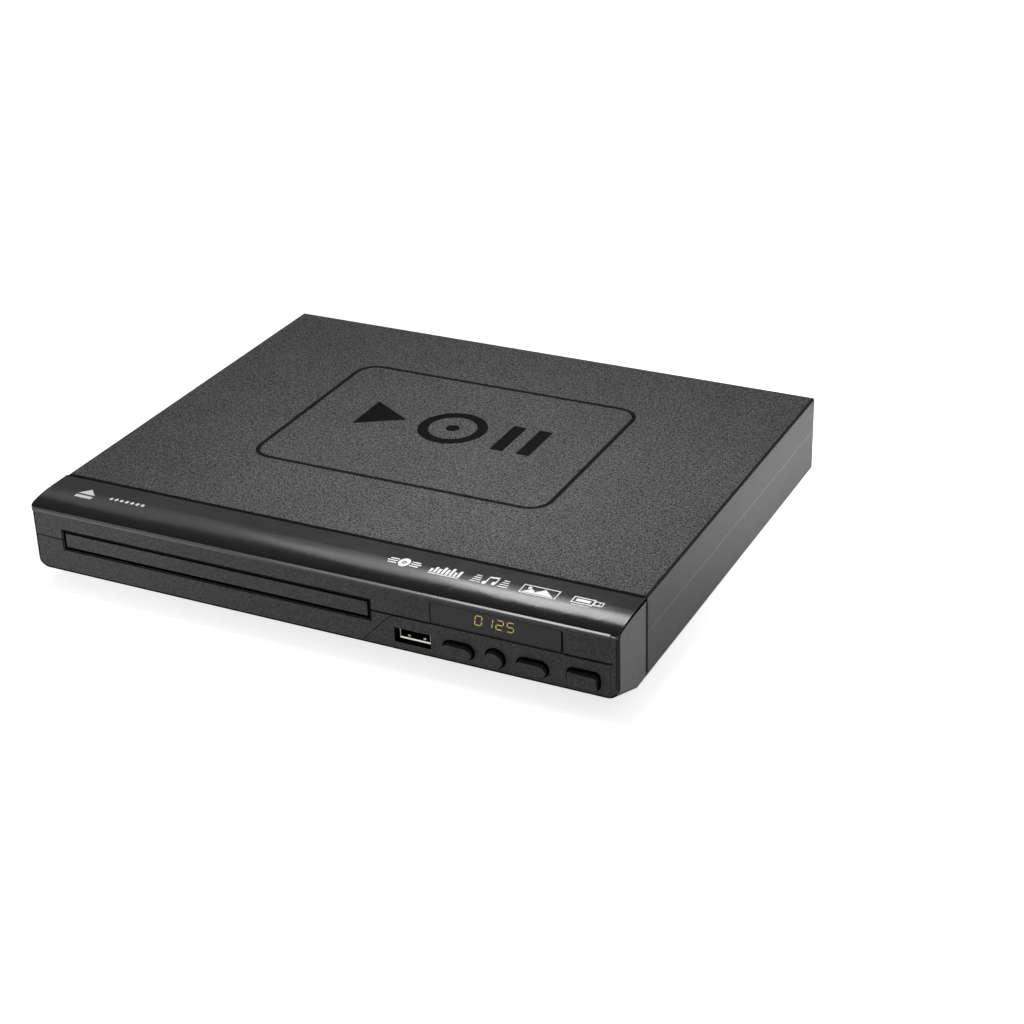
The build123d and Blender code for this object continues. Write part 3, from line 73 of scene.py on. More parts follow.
# Sizes that the part's source gives too, in millimetres
FRONT_LIFT = 5.0  # lower edge of the front face above the under side
BEZEL_CORNER = 5.0
HOOD_ROUND = 15.0
HOOD_DROP = 2.9
HOOD_REACH = 0.4
FIELD_SHIFT = 2.5  # to the left
FIELD_MIDDLE = 120.05  # behind the front face
FIELD_WIDTH = 135.5
FIELD_DEPTH = 100.5
FIELD_RADIUS = 10.0
GROOVE_WIDTH = 2.0
EMBLEM_MIDDLE = 124.5  # behind the front face
EMBLEM_RADIUS = 15.0
EMBLEM_RING = 4.6
EMBLEM_HUB = 3.0
EMBLEM_SPREAD = 32.0
EMBLEM_HEIGHT = 24.0
ARROW_LENGTH = 20.0
PAUSE_BAR = 6.0
PAUSE_PITCH = 12.0
PANEL_LENGTH = 101.1
PANEL_RIGHT = 3.4  # from the end of the case
PANEL_SLANT = 12.5
PANEL_ROUND = 8.0
PANEL_FOOT = 1.2
CAPSULE_WIDTH = 12.0
CAPSULE_HEIGHT = 5.7
ROUND_DIAMETER = 7.3
POWER_WIDTH = 12.1
POWER_HEIGHT = 6.6
POWER_RADIUS = 1.8
SOCKET_RISE = 6.2  # middle of its cut-out above the front's lower edge
SOCKET_CUT_WIDTH = 15.3
SOCKET_CUT_HEIGHT = 6.1
SCREW_HEAD = 6.0

# Sizes of the prints, in millimetres
INK = 0.03  # a print stands this far off its face
SUNK = 0.06  # an inlay lies this far below the cover's face
INLAY_GAP = 0.05  # round an inlay in its recess
WALL_GAP = 0.03  # between an opening and the walls that line it

FRONT_Z = BASE_Z + FRONT_LIFT
PANEL_END = SIDE_X - PANEL_RIGHT
PANEL_START = PANEL_END - PANEL_LENGTH
SIDES = (("right", 1), ("left", -1))


# Shader helpers

def feed(tree, socket, value):
    """Link a socket to another one, or give it a plain value."""
    if isinstance(value, bpy.types.NodeSocket):
        tree.links.new(value, socket)
    else:
        socket.default_value = value


def node(tree, kind, links=None, **settings):
    """New shader node with its settings, and its sockets set or linked."""
    made = tree.nodes.new(kind)
    for key, value in settings.items():
        setattr(made, key, value)
    for key, value in (links or {}).items():
        feed(tree, made.inputs[key], value)
    return made


def wire(tree, shader, **sockets):
    """Set or link sockets of a shader, named with underscores for spaces."""
    for key, value in sockets.items():
        feed(tree, shader.inputs[key.replace("_", " ")], value)


def material(name, **sockets):
    """Principled material with its plain sockets set."""
    made = bpy.data.materials.new(name)
    made.use_nodes = True
    tree = made.node_tree
    tree.nodes.clear()
    shader = node(tree, "ShaderNodeBsdfPrincipled")
    wire(tree, shader, **sockets)
    node(tree, "ShaderNodeOutputMaterial", {"Surface": shader.outputs[0]})
    return made, tree, shader


def grey(level):
    return (level, level, level, 1.0)


def shade(colour, factor):
    return tuple(min(1.0, c * factor) for c in colour[:3]) + (1.0,)


def noise(tree, coords, size_mm, detail=2.0, rough=0.5, stretch=None):
    """Noise whose features are about size_mm across."""
    vector = coords
    if stretch:
        vector = node(tree, "ShaderNodeMapping", {"Vector": coords, "Scale": stretch}).outputs[0]
    links = {"Vector": vector, "Scale": 1.0 / (size_mm * MM), "Detail": detail, "Roughness": rough}
    return node(tree, "ShaderNodeTexNoise", links).outputs[0]


def ramp(tree, value, limits, results=(0.0, 1.0)):
    """Value between two limits, turned into one between two results."""
    links = {0: value, 1: limits[0], 2: limits[1], 3: results[0], 4: results[1]}
    return node(tree, "ShaderNodeMapRange", links).outputs[0]


def blend(tree, factor, first, second, mode="MIX"):
    links = {0: factor, 6: first, 7: second}
    made = node(tree, "ShaderNodeMix", links, data_type="RGBA", blend_type=mode, clamp_factor=True)
    return made.outputs[2]


def maths(tree, operation, first, second=0.0):
    return node(tree, "ShaderNodeMath", {0: first, 1: second}, operation=operation).outputs[0]


def object_coords(tree):
    return node(tree, "ShaderNodeTexCoord").outputs["Object"]


def bump(tree, shader, height, strength, depth_mm):
    links = {"Height": height, "Strength": strength, "Distance": depth_mm * MM}
    wire(tree, shader, Normal=node(tree, "ShaderNodeBump", links).outputs[0])


# Masks of a moulding's faces, by the parts of their direction along X, Y and Z, each from -1 to 1

def facing(tree):
    """Parts of the surface's direction along X, Y and Z."""
    normal = node(tree, "ShaderNodeNewGeometry").outputs["Normal"]
    return node(tree, "ShaderNodeSeparateXYZ", {0: normal}).outputs


def between(tree, value, low, high):
    """One between two limits, falling softly to nothing outside them."""
    soft = 0.05
    rise = ramp(tree, value, (low - soft, low + soft))
    fall = ramp(tree, value, (high - soft, high + soft), (1.0, 0.0))
    return maths(tree, "MULTIPLY", rise, fall)


def cut_sides(tree):
    """All but the faces that look forward, where shade is painted."""
    return ramp(tree, facing(tree)[1], (-0.8, -0.35))


def cover_edges(tree):
    """Rounded upper side edges, where shade is painted."""
    across, _, up = facing(tree)
    sideways = between(tree, maths(tree, "ABSOLUTE", across), 0.08, 0.985)
    return maths(tree, "MULTIPLY", sideways, ramp(tree, up, (0.08, 0.20)))


def front_corners(tree):
    """Rounded upright corners of the front, where shade is painted."""
    across, along, _ = facing(tree)
    sideways = between(tree, maths(tree, "ABSOLUTE", across), 0.20, 0.985)
    return maths(tree, "MULTIPLY", sideways, between(tree, along, -0.98, -0.14))


def upright_faces(tree):
    """Upright and downward faces, which get a painted-shade colour."""
    return ramp(tree, facing(tree)[2], (0.08, 0.30), (1.0, 0.0))


def end_faces(tree):
    """Faces that look sideways."""
    return ramp(tree, maths(tree, "ABSOLUTE", facing(tree)[0]), (0.80, 0.97))


# Materials

def moulded(name, colour, roughness, grain_mm, contrast, depth_mm, specular, dark=None, side=None):
    """Textured plastic or paint: fine speckle, slow mottling, and pits that catch the light.

    Faces in the dark mask are painted nearly black, as painted shade. Faces in the side mask have their own
    roughness, and their own colour, which paints the light and shade those faces get."""
    coarse_factor, coarse_share = 2.3, 0.25
    patch_mm, mottle = 34.0, 0.06
    rough_swing, side_contrast, painted_shade_factor = 0.07, 0.1, 0.10
    made, tree, shader = material(name, Specular_IOR_Level=specular)
    coords = object_coords(tree)
    fine = noise(tree, coords, grain_mm, detail=2.0, rough=0.65)
    coarse = noise(tree, coords, grain_mm * coarse_factor, detail=1.0)
    slow = noise(tree, coords, patch_mm, detail=3.0)
    speck = maths(tree, "ADD", fine, maths(tree, "MULTIPLY", coarse, coarse_share))
    speck = ramp(tree, speck, (0.52, 0.74))
    base = blend(tree, speck, shade(colour, 1.0 - contrast), shade(colour, 1.0 + contrast))
    patch = ramp(tree, slow, (0.35, 0.65), (1.0 - mottle, 1.0 + mottle))
    base = blend(tree, 1.0, base, patch, "MULTIPLY")
    rough = ramp(tree, speck, (0.0, 1.0), (roughness + rough_swing, roughness - rough_swing))
    # Painted light and shade: the side mask's faces get a colour of their own, set lighter or darker than the
    # rest
    if side:
        mask, side_painted_tone, side_rough = side
        turned = mask(tree)
        painted_side_low, painted_side_high = shade(side_painted_tone, 1.0 - side_contrast), shade(side_painted_tone, 1.0 + side_contrast)
        base = blend(tree, turned, base, blend(tree, speck, painted_side_low, painted_side_high))
        rough = ramp(tree, turned, (0.0, 1.0), (rough, side_rough))
    # Painted shade: the dark mask's faces are painted nearly black
    if dark:
        base = blend(tree, dark(tree), base, shade(colour, painted_shade_factor))
    wire(tree, shader, Base_Color=base, Roughness=rough)
    bump(tree, shader, speck, 0.6, depth_mm)
    return made


def gloss(name, colour, roughness, specular, dull_ends=False):
    """Polished moulding: faint flow ripple, dust and hairline marks in the gloss."""
    dust_factor = 3.0
    made, tree, shader = material(name, Specular_IOR_Level=specular)
    coords = object_coords(tree)
    hair = noise(tree, coords, 1.6, detail=3.0, rough=0.7, stretch=(0.12, 1.0, 1.0))
    dust = noise(tree, coords, 0.45, detail=1.0)
    ripple = noise(tree, coords, 9.0, detail=1.0)
    specks = ramp(tree, dust, (0.70, 0.78), (0.0, 0.5))
    base = blend(tree, specks, colour, shade(colour, dust_factor))
    rough = ramp(tree, hair, (0.3, 0.7), (roughness - 0.025, roughness + 0.03))
    wire(tree, shader, Base_Color=base, Roughness=rough)
    if dull_ends:
        wire(tree, shader, Specular_IOR_Level=ramp(tree, end_faces(tree), (0.0, 1.0), (specular, 0.0)))
    bump(tree, shader, ripple, 0.03, 0.02)
    return made


def metal(name, colour, roughness, stretch, stain=0.15):
    """Plated or rolled metal with fine drawing lines and a few dull patches."""
    dull_rough = 0.1
    made, tree, shader = material(name, Metallic=1.0)
    coords = object_coords(tree)
    lines = noise(tree, coords, 0.5, detail=3.0, rough=0.6, stretch=stretch)
    dull = ramp(tree, noise(tree, coords, 7.0, detail=3.0), (0.4, 0.7))
    base = blend(tree, dull, colour, shade(colour, 1.0 - stain))
    rough = ramp(tree, lines, (0.3, 0.7), (roughness - 0.06, roughness + 0.08))
    rough = maths(tree, "ADD", rough, maths(tree, "MULTIPLY", dull, dull_rough))
    wire(tree, shader, Base_Color=base, Roughness=rough)
    bump(tree, shader, lines, 0.25, 0.02)
    return made


def circuit_board(name):
    """Solder mask with copper tracks showing through and pale pads."""
    dark_mask, light_mask = (0.006, 0.055, 0.022, 1.0), (0.012, 0.09, 0.035, 1.0)
    track_colour, pad_colour = (0.05, 0.16, 0.05, 1.0), (0.45, 0.44, 0.40, 1.0)
    made, tree, shader = material(name, Roughness=0.35)
    coords = object_coords(tree)
    cell_links = {"Vector": coords, "Scale": 330.0}
    cells = node(tree, "ShaderNodeTexVoronoi", cell_links, distance="CHEBYCHEV", feature="F1").outputs[0]
    tracks = node(tree, "ShaderNodeTexBrick", {
        "Vector": coords, "Scale": 150.0, "Mortar Size": 0.03,
        "Color1": grey(0.0), "Color2": grey(0.15), "Mortar": grey(1.0),
    }).outputs[1]
    mask = blend(tree, noise(tree, coords, 12.0), dark_mask, light_mask)
    copper = blend(tree, tracks, mask, track_colour)
    pads = ramp(tree, cells, (0.10, 0.13), (1.0, 0.0))
    wire(tree, shader, Base_Color=blend(tree, pads, copper, pad_colour))
    bump(tree, shader, tracks, 0.3, 0.04)
    return made


def tape(name):
    """Yellow winding tape in overlapping turns."""
    dark_turn, light_turn = (0.38, 0.24, 0.03, 1.0), (0.62, 0.42, 0.06, 1.0)
    made, tree, shader = material(name, Roughness=0.4)
    links = {"Vector": object_coords(tree), "Scale": 90.0, "Distortion": 0.6, "Detail": 2.0}
    turns = node(tree, "ShaderNodeTexWave", links, bands_direction="Z").outputs[1]
    wire(tree, shader, Base_Color=blend(tree, turns, dark_turn, light_turn))
    bump(tree, shader, turns, 0.4, 0.15)
    return made


def glow(name, colour, strength):
    """Lit display segment, brighter in some grains."""
    made, tree, shader = material(name, Base_Color=colour, Roughness=0.5, Emission_Color=colour)
    grain = noise(tree, object_coords(tree), 0.5)
    wire(tree, shader, Emission_Strength=ramp(tree, grain, (0.3, 0.7), (strength * 0.6, strength * 1.3)))
    return made


def print_ink(name, level):
    """Pad printed ink: slightly uneven cover. The same helper makes the painted highlight along the case
    joint.
    """
    thin_factor, roughness, rough_swing = 0.72, 0.55, 0.1
    made, tree, shader = material(name, Specular_IOR_Level=0.3)
    grain = noise(tree, object_coords(tree), 0.35)
    base = blend(tree, ramp(tree, grain, (0.35, 0.7)), grey(level), grey(level * thin_factor))
    rough = ramp(tree, grain, (0.3, 0.7), (roughness - rough_swing, roughness + rough_swing))
    wire(tree, shader, Base_Color=base, Roughness=rough)
    bump(tree, shader, grain, 0.2, 0.01)
    return made


# Case paint: painted shade darkens the rounded upper side edges to nearly black, and gives the upright faces
# a darker colour than the top
CASE = moulded("case_paint", grey(0.074), roughness=0.60, grain_mm=0.50, contrast=0.92, depth_mm=0.14,
               specular=0.12, dark=cover_edges, side=(upright_faces, grey(0.035), 0.40))
# Bezel: painted shade darkens the rounded upright corners of the front, and painted light makes the end faces
# a lighter grey
BEZEL = moulded("bezel_moulding", grey(0.037), roughness=0.55, grain_mm=0.60, contrast=0.30, depth_mm=0.04,
                specular=0.18, dark=front_corners, side=(end_faces, grey(0.115), 0.50))
# Insert, buttons and window: faces that don't look forward are painted nearly black as shade
INSERT = moulded("insert_moulding", grey(0.037), roughness=0.55, grain_mm=0.60, contrast=0.30, depth_mm=0.04,
                 specular=0.18, dark=cut_sides)
BUTTON = moulded("button_moulding", grey(0.035), roughness=0.50, grain_mm=0.55, contrast=0.30, depth_mm=0.03,
                 specular=0.18, dark=cut_sides)
WINDOW = moulded("smoked_window", (0.025, 0.027, 0.025, 1.0), roughness=0.40, grain_mm=0.40, contrast=0.10,
                 depth_mm=0.004, specular=0.18, dark=cut_sides)
LINE = moulded("shadow_line", grey(0.004), roughness=0.75, grain_mm=0.5, contrast=0.3, depth_mm=0.02,
               specular=0.05)
GROOVE_LINE = moulded("groove_shadow", grey(0.007), roughness=0.70, grain_mm=0.6, contrast=0.4, depth_mm=0.02,
                      specular=0.05)
BLACK = moulded("black_plastic", grey(0.014), roughness=0.45, grain_mm=0.5, contrast=0.25, depth_mm=0.03,
                specular=0.4)
WHITE = moulded("white_plastic", (0.62, 0.61, 0.57, 1.0), roughness=0.4, grain_mm=0.6, contrast=0.05,
                depth_mm=0.02, specular=0.5)
YELLOW = moulded("yellow_plastic", (0.72, 0.44, 0.02, 1.0), roughness=0.35, grain_mm=0.6, contrast=0.06,
                 depth_mm=0.02, specular=0.5)
RED = moulded("red_plastic", (0.50, 0.012, 0.012, 1.0), roughness=0.35, grain_mm=0.6, contrast=0.06,
              depth_mm=0.02, specular=0.5)
RUBBER = moulded("rubber", grey(0.016), roughness=0.8, grain_mm=0.6, contrast=0.3, depth_mm=0.05,
                 specular=0.25)
HOOD = gloss("hood_gloss", grey(0.004), roughness=0.17, specular=0.42, dull_ends=True)
LIP = gloss("lip_gloss", grey(0.010), roughness=0.20, specular=0.6)
INLAY = gloss("emblem_gloss", grey(0.010), roughness=0.45, specular=0.0)
LENS = gloss("lens_glass", (0.05, 0.06, 0.12, 1.0), roughness=0.06, specular=0.8)
STEEL = metal("steel", grey(0.50), roughness=0.32, stretch=(0.1, 1.0, 1.0))
NICKEL = metal("nickel", (0.72, 0.70, 0.66, 1.0), roughness=0.18, stretch=(1.0, 0.1, 1.0), stain=0.08)
ALUMINIUM = metal("aluminium", (0.66, 0.67, 0.68, 1.0), roughness=0.38, stretch=(1.0, 0.08, 1.0))
PLATE = metal("label_foil", (0.42, 0.43, 0.44, 1.0), roughness=0.45, stretch=(0.1, 1.0, 1.0))
BOARD = circuit_board("board_green")
TAPE = tape("winding_tape")
AMBER = glow("amber_segment", (0.46, 0.38, 0.14, 1.0), strength=0.42)
WHITE_INK = print_ink("white_ink", 0.88)
PALE_INK = print_ink("pale_ink", 0.30)
FAINT_INK = print_ink("faint_ink", 0.015)
# Painted highlight for the line along the case joint, drawn with the ink helper
JOINT_HIGHLIGHT = print_ink("joint_highlight", 0.17)

slot_looks = {
    "case_grey": CASE, "bezel_grey": BEZEL, "gloss_black": HOOD, "button_grey": BUTTON, "steel": STEEL,
    "bright_metal": NICKEL, "aluminium": ALUMINIUM, "black_plastic": BLACK, "white_plastic": WHITE,
    "yellow_plastic": YELLOW, "red_plastic": RED, "board_green": BOARD, "lens_glass": LENS, "rubber": RUBBER,
    "winding_tape": TAPE,
}
slots = {row["node"]: row["material_slot"] for row in frame["record"]["subparts"]}
looks = {name: slot_looks[slots[name]] for name in nodes}
looks.update(display_window=WINDOW, button_panel=INSERT, tray_door=INSERT)
for name, piece in nodes.items():
    piece.data.materials.clear()
    piece.data.materials.append(looks[name])


# Places for flat drawings on the player, from U and V in millimetres

def on_top(x, y, z):
    """Places on an upward face, U to the right and V to the back."""
    return lambda u, v: Vector((x + u, y + v, z)) * MM


def on_hood(x, y):
    """Places on the hood, following its curve."""
    start = FRONT_Y - HOOD_REACH + HOOD_ROUND

    def place(u, v):
        share = min(1.0, max(0.0, (start - y - v) / HOOD_ROUND))
        drop = HOOD_DROP * (1.0 - math.sqrt(1.0 - share * share))
        return Vector((x + u, y + v, TOP_Z - drop + INK)) * MM
    return place


def on_front(x, z, y):
    """Places on a forward face, U to the right and V up."""
    return lambda u, v: Vector((x + u, y - INK, z + v)) * MM


def on_back(x, z):
    """Places on the rear panel, U to the viewer's right and V up."""
    return lambda u, v: Vector((x - u, REAR_Y + INK, z + v)) * MM


def on_side(side, y, z):
    """Places on an end of the case, U to the back and V up."""
    return lambda u, v: Vector((side * (SIDE_X + INK), y + u, z + v)) * MM


def on_under(x, y, z):
    """Places on a downward face, U to the right and V to the front."""
    return lambda u, v: Vector((x + u, y - v, z - INK)) * MM


# Flat shapes, each a list of faces in U and V

def arc(u, v, radius, start, sweep, steps=12):
    """Points along an arc, its angles in degrees."""
    turns = [math.radians(start + sweep * n / steps) for n in range(steps + 1)]
    return [(u + radius * math.cos(t), v + radius * math.sin(t)) for t in turns]


def closed(points):
    """Path that ends where it starts."""
    return points + points[:1]


def band(first, second):
    """Faces between two paths."""
    pairs = list(zip(first, second))
    return [[a, b, d, c] for (a, b), (c, d) in zip(pairs, pairs[1:])]


def stroke(points, line):
    """Thin band along a path."""
    faces = []
    for a, b in zip(points, points[1:]):
        across = Vector((a[1] - b[1], b[0] - a[0])).normalized() * line / 2
        faces.append([(a[0] - across.x, a[1] - across.y), (b[0] - across.x, b[1] - across.y),
                      (b[0] + across.x, b[1] + across.y), (a[0] + across.x, a[1] + across.y)])
    return faces


def ring(u, v, outer, inner, start=0.0, sweep=360.0, steps=48):
    """Ring or a part of one."""
    return band(arc(u, v, inner, start, sweep, steps), arc(u, v, outer, start, sweep, steps))


def disc(u, v, radius, steps=40):
    return [arc(u, v, radius, 0.0, 360.0, steps)[:-1]]


def plate(u, v, width, height):
    w, h = width / 2, height / 2
    return [[(u - w, v - h), (u + w, v - h), (u + w, v + h), (u - w, v + h)]]


def bar(start, end, v, line):
    """Level bar between two places."""
    return plate((start + end) / 2, v, end - start, line)


def border(u, v, width, height, line):
    """Four bars round a rectangle."""
    w, h = width / 2, height / 2
    bars = [plate(u, v + side * (h - line / 2), width, line) for side in (-1, 1)]
    bars += [plate(u + side * (w - line / 2), v, line, height - 2 * line) for side in (-1, 1)]
    return sum(bars, [])


def rounded_outline(width, height, radius):
    points = []
    for u, v, start in ((1, -1, -90), (1, 1, 0), (-1, 1, 90), (-1, -1, 180)):
        points += arc(u * (width / 2 - radius), v * (height / 2 - radius), radius, start, 90, steps=10)
    return points


def rounded_frame(width, height, radius, line):
    """Band round a rounded rectangle."""
    outer = rounded_outline(width, height, radius)
    inner = rounded_outline(width - 2 * line, height - 2 * line, radius - line)
    return band(closed(inner), closed(outer))


def crescent(width, height, radius, inset, depth):
    """Band of painted shadow along the upper and right part of a rounded rectangle's edge, a hair wide
    elsewhere.
    """
    widest_side, least_share = Vector((0.4, 0.9)), 0.01
    outer = rounded_outline(width - 2 * inset, height - 2 * inset, radius - inset)
    inner = []
    for n, (u, v) in enumerate(outer):
        before, after = outer[n - 1], outer[(n + 1) % len(outer)]
        outward = Vector((after[1] - before[1], before[0] - after[0])).normalized()
        reach = depth * max(least_share, outward.dot(widest_side))
        inner.append((u - outward.x * reach, v - outward.y * reach))
    return band(closed(inner), closed(outer))


# Helpers for new pieces

def finish_piece(name, bm, look, body):
    """Object made of a mesh in progress, riding on a body."""
    mesh = bpy.data.meshes.new(name)
    bm.to_mesh(mesh)
    bm.free()
    made = bpy.data.objects.new(name, mesh)
    scene.collection.objects.link(made)
    made.data.materials.append(look)
    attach(made, body)


def draw(name, faces, place, look, body, slices=0.0):
    """Thin print: flat faces, cut in slices where the surface below is curved, then laid on it."""
    bm = bmesh.new()
    for face in faces:
        bm.faces.new([bm.verts.new((u, v, 0.0)) for u, v in face])
    if slices:
        low = min(v for face in faces for _, v in face)
        high = max(v for face in faces for _, v in face)
        for n in range(1, int((high - low) / slices) + 1):
            parts = bm.verts[:] + bm.edges[:] + bm.faces[:]
            cut = (0.0, low + n * slices, 0.0)
            bmesh.ops.bisect_plane(bm, geom=parts, plane_co=cut, plane_no=(0.0, 1.0, 0.0))
    for vert in bm.verts:
        vert.co = place(vert.co.x, vert.co.y)
    finish_piece(name, bm, look, body)


def draw_line(name, faces, place):
    """Dark line on the case in the shadow-line material: painted shade, and also the rating plate's printed
    lines.
    """
    draw(name, faces, place, LINE, "case")


def walls(name, width, height, depth, place):
    """Four walls of a rectangular opening, running back from its mouth, painted black as the shade inside it.
    """
    bm = bmesh.new()
    outline = plate(0, 0, width, height)[0]
    back = Vector((0.0, depth, 0.0)) * MM
    mouth = [bm.verts.new(place(u, v)) for u, v in outline]
    end = [bm.verts.new(place(u, v) + back) for u, v in outline]
    for face in band(closed(end), closed(mouth)):
        bm.faces.new(face)
    finish_piece(name, bm, LINE, "case")


def ridge(name, profile, low, high, look):
    """Solid strip along X with a profile in Y and Z."""
    bm = bmesh.new()
    ends = [[bm.verts.new(Vector((x, y, z)) * MM) for y, z in profile] for x in (low, high)]
    for face in band(closed(ends[1]), closed(ends[0])):
        bm.faces.new(face)
    for end in ends:
        bm.faces.new(end)
    bmesh.ops.recalc_face_normals(bm, faces=bm.faces)
    finish_piece(name, bm, look, "case")


# Polished bead on the hood's lip
bead_depth = 1.15
bead_foot = LIP_Z + 0.75
bead_front = LIP_Z + 1.28
bead_back = LIP_Z + 1.40
bead_left = 1.5  # short of the ends of the front
bead_right = 3.2
bead = [(LIP_Y + bead_depth, bead_back), (LIP_Y, bead_front), (LIP_Y, bead_foot),
        (LIP_Y + bead_depth, bead_foot)]
ridge("lip_edge", bead, bead_left - SIDE_X, SIDE_X - bead_right, LIP)

# Display: four numerals of seven slanted segments
SEGMENTS = {
    "a": ((-1, 1), (1, 1)), "b": ((1, 1), (1, 0)), "c": ((1, 0), (1, -1)), "d": ((-1, -1), (1, -1)),
    "e": ((-1, 0), (-1, -1)), "f": ((-1, 1), (-1, 0)), "g": ((-1, 0), (1, 0)),
}
NUMERALS = {"0": "abcdef", "1": "bc", "2": "abdeg", "5": "acdfg"}


def numeral(sign, place):
    """Segments of one numeral as pointed bars, leaning to the right."""
    half_width, half_height, line, lean, gap = 1.35, 1.95, 0.19, 0.16, 0.30
    faces = []
    for key in NUMERALS[sign]:
        a, b = (Vector((x * half_width, y * half_height)) for x, y in SEGMENTS[key])
        along = (b - a).normalized()
        across = Vector((-along.y, along.x)) * line
        a, b = a + along * gap, b - along * gap
        outline = (a - along * line / 2, a + across, b + across, b + along * line / 2, b - across, a - across)
        faces.append([(place + p.x + lean * p.y, p.y) for p in outline])
    return faces


digit_signs = "0125"
digit_pitch = 4.3
digits_left = 0.35  # of the window's middle
digits_rise = 0.9
window = middle("display_window")
digits = []
for n, sign in enumerate(digit_signs):
    digits += numeral(sign, (n - (len(digit_signs) - 1) / 2) * digit_pitch)
draw("display_digits", digits, on_front(window.x - digits_left, window.z + digits_rise, FRONT_Y), AMBER,
     "case")

# Joints at the ends of the window, darkened with painted shadow
window_low, window_high = box("display_window")
window_height = window_high.z - window_low.z
right_joint = 0.95
right_joint_inset = 0.2
left_joint = 0.45
joint_shadows = plate(window_high.x - right_joint_inset, 0, right_joint, window_height)
joint_shadows += plate(window_low.x, 0, left_joint, window_height)
draw_line("window_joint_shadows", joint_shadows, on_front(0, window.z, FRONT_Y))

# Joint over the button panel, darkened with painted shadow: beside the door, under the window, right of it,
# and round the slant
door_low, door_high = box("tray_door")
door = middle("tray_door")
door_clear = 1.3
window_clear = 0.35
under_left = 0.3  # past the ends of the window
under_right = 0.7
end_left = 0.75
end_right = 0.5  # short of the panel's end
joint_drop = 0.15
end_drop = 0.25
beside_line = 0.85
under_line = 0.45
end_line = 0.75
slant_line = 0.3
joint = bar(door_high.x + door_clear, window_low.x - window_clear, -joint_drop, beside_line)
joint += bar(window_low.x - under_left, window_high.x + under_right, -joint_drop, under_line)
joint += bar(window_high.x + end_left, PANEL_END - end_right, -end_drop, end_line)
slant_height = SPLIT_Z - FRONT_Z - PANEL_FOOT
slant_angle = math.degrees(math.atan2(slant_height, PANEL_SLANT))
round_u = PANEL_START + PANEL_SLANT + PANEL_ROUND * math.tan(math.radians(slant_angle / 2))
bend = arc(round_u, -PANEL_ROUND, PANEL_ROUND, 90 + slant_angle, -slant_angle)
joint += stroke([(PANEL_START, -slant_height)] + bend, slant_line)
draw_line("panel_joint_shadow", joint, on_front(0, SPLIT_Z, FRONT_Y))


# Generic signs, in millimetres from their middles

def eject_arrow(width, foot, tip, bar_middle, bar_height):
    """Arrow head over a bar."""
    head = [(-width / 2, foot), (width / 2, foot), (0, tip)]
    return [head] + plate(0, bar_middle, width, bar_height)


def dots(count, pitch, radius):
    """Row of dots."""
    return sum((disc((n - (count - 1) / 2) * pitch, 0, radius) for n in range(count)), [])


def spinning_disc():
    """Disc with three lines on each side."""
    rim, hole, hub = 2.7, 1.0, 0.45
    gap, pitch, line = 3.2, 1.3, 0.6
    faces = ring(0, 0, rim, hole) + disc(0, 0, hub)
    for side in (-1, 1):
        for step, length in ((-1, 4.2), (0, 5.0), (1, 4.2)):
            faces += plate(side * (gap + length / 2), step * pitch, length, line)
    return faces


def level_bars():
    """Bars of several heights over a base line."""
    heights = (2.2, 3.6, 2.8, 4.4, 3.4, 4.6, 2.6, 3.8)
    pitch, width, foot = 1.9, 1.25, -2.1
    faces = plate(0, -2.7, width=14.6, height=0.5)
    for n, height in enumerate(heights):
        faces += plate((n - (len(heights) - 1) / 2) * pitch, foot + height / 2, width, height)
    return faces


def rising_bars():
    """Bars that grow to the right."""
    count, pitch, width, growth = 7, 1.4, 0.7, 0.3
    faces = []
    for n in range(count):
        faces += plate((n - (count - 1) / 2) * pitch, n * growth / 2, width, width + n * growth)
    return faces


def notes():
    """Two notes under a beam, with lines on each side that get shorter upwards."""
    heads, head = ((-2.4, -1.7), (1.9, -1.2)), 1.0
    stem_right, stem_rise, stem, stem_length = 0.7, 2.0, 0.55, 4.0
    beam = [(-1.95, 1.6), (2.85, 2.2), (2.85, 3.1), (-1.95, 2.5)]
    lines, side_middle, lowest, pitch, longest, taper, line = 4, 6.6, -2.0, 1.3, 4.8, 0.7, 0.45
    faces = [beam]
    for u, v in heads:
        faces += disc(u, v, head) + plate(u + stem_right, v + stem_rise, stem, stem_length)
    for side in (-1, 1):
        for n in range(lines):
            faces += plate(side * side_middle, lowest + n * pitch, longest - n * taper, line)
    return faces


def landscape():
    """Framed picture of a sun and two hills."""
    ground, valley = -2.0, -0.2
    left_hill = [(-7.4, ground), (-3.6, 0.5), (valley, ground)]
    right_hill = [(-1.4, -1.1), (2.0, 1.7), (7.0, ground), (valley, ground)]
    sun = disc(-5.0, 1.0, radius=0.85)
    return border(0, 0, width=17.0, height=5.4, line=0.45) + sun + [left_hill, right_hill]


def memory_stick():
    """Memory stick with a label, its plug with two contacts, and a line below."""
    body_u, plug_u, contact_u, contact_v = -1.8, 5.2, 5.6, 0.6
    faces = border(body_u, 0, width=10.0, height=4.0, line=0.55)
    faces += border(plug_u, 0, width=4.2, height=2.9, line=0.5)
    faces += plate(body_u, 0, width=6.6, height=1.6) + plate(body_u, -3.0, width=8.0, height=0.4)
    for side in (-1, 1):
        faces += plate(contact_u, side * contact_v, width=0.9, height=0.5)
    return faces


def small_stick():
    """Outline of a memory stick and its plug."""
    body = border(-0.9, 0, width=3.8, height=1.7, line=0.3)
    return body + border(1.8, 0, width=1.6, height=1.1, line=0.28)


def play_pause():
    """Arrow head beside two bars."""
    tail, tip, half_height = -1.7, 0.2, 1.1
    faces = [[(tail, -half_height), (tip, 0), (tail, half_height)]]
    for u in (0.9, 1.9):
        faces += plate(u, 0, width=0.5, height=2.1)
    return faces


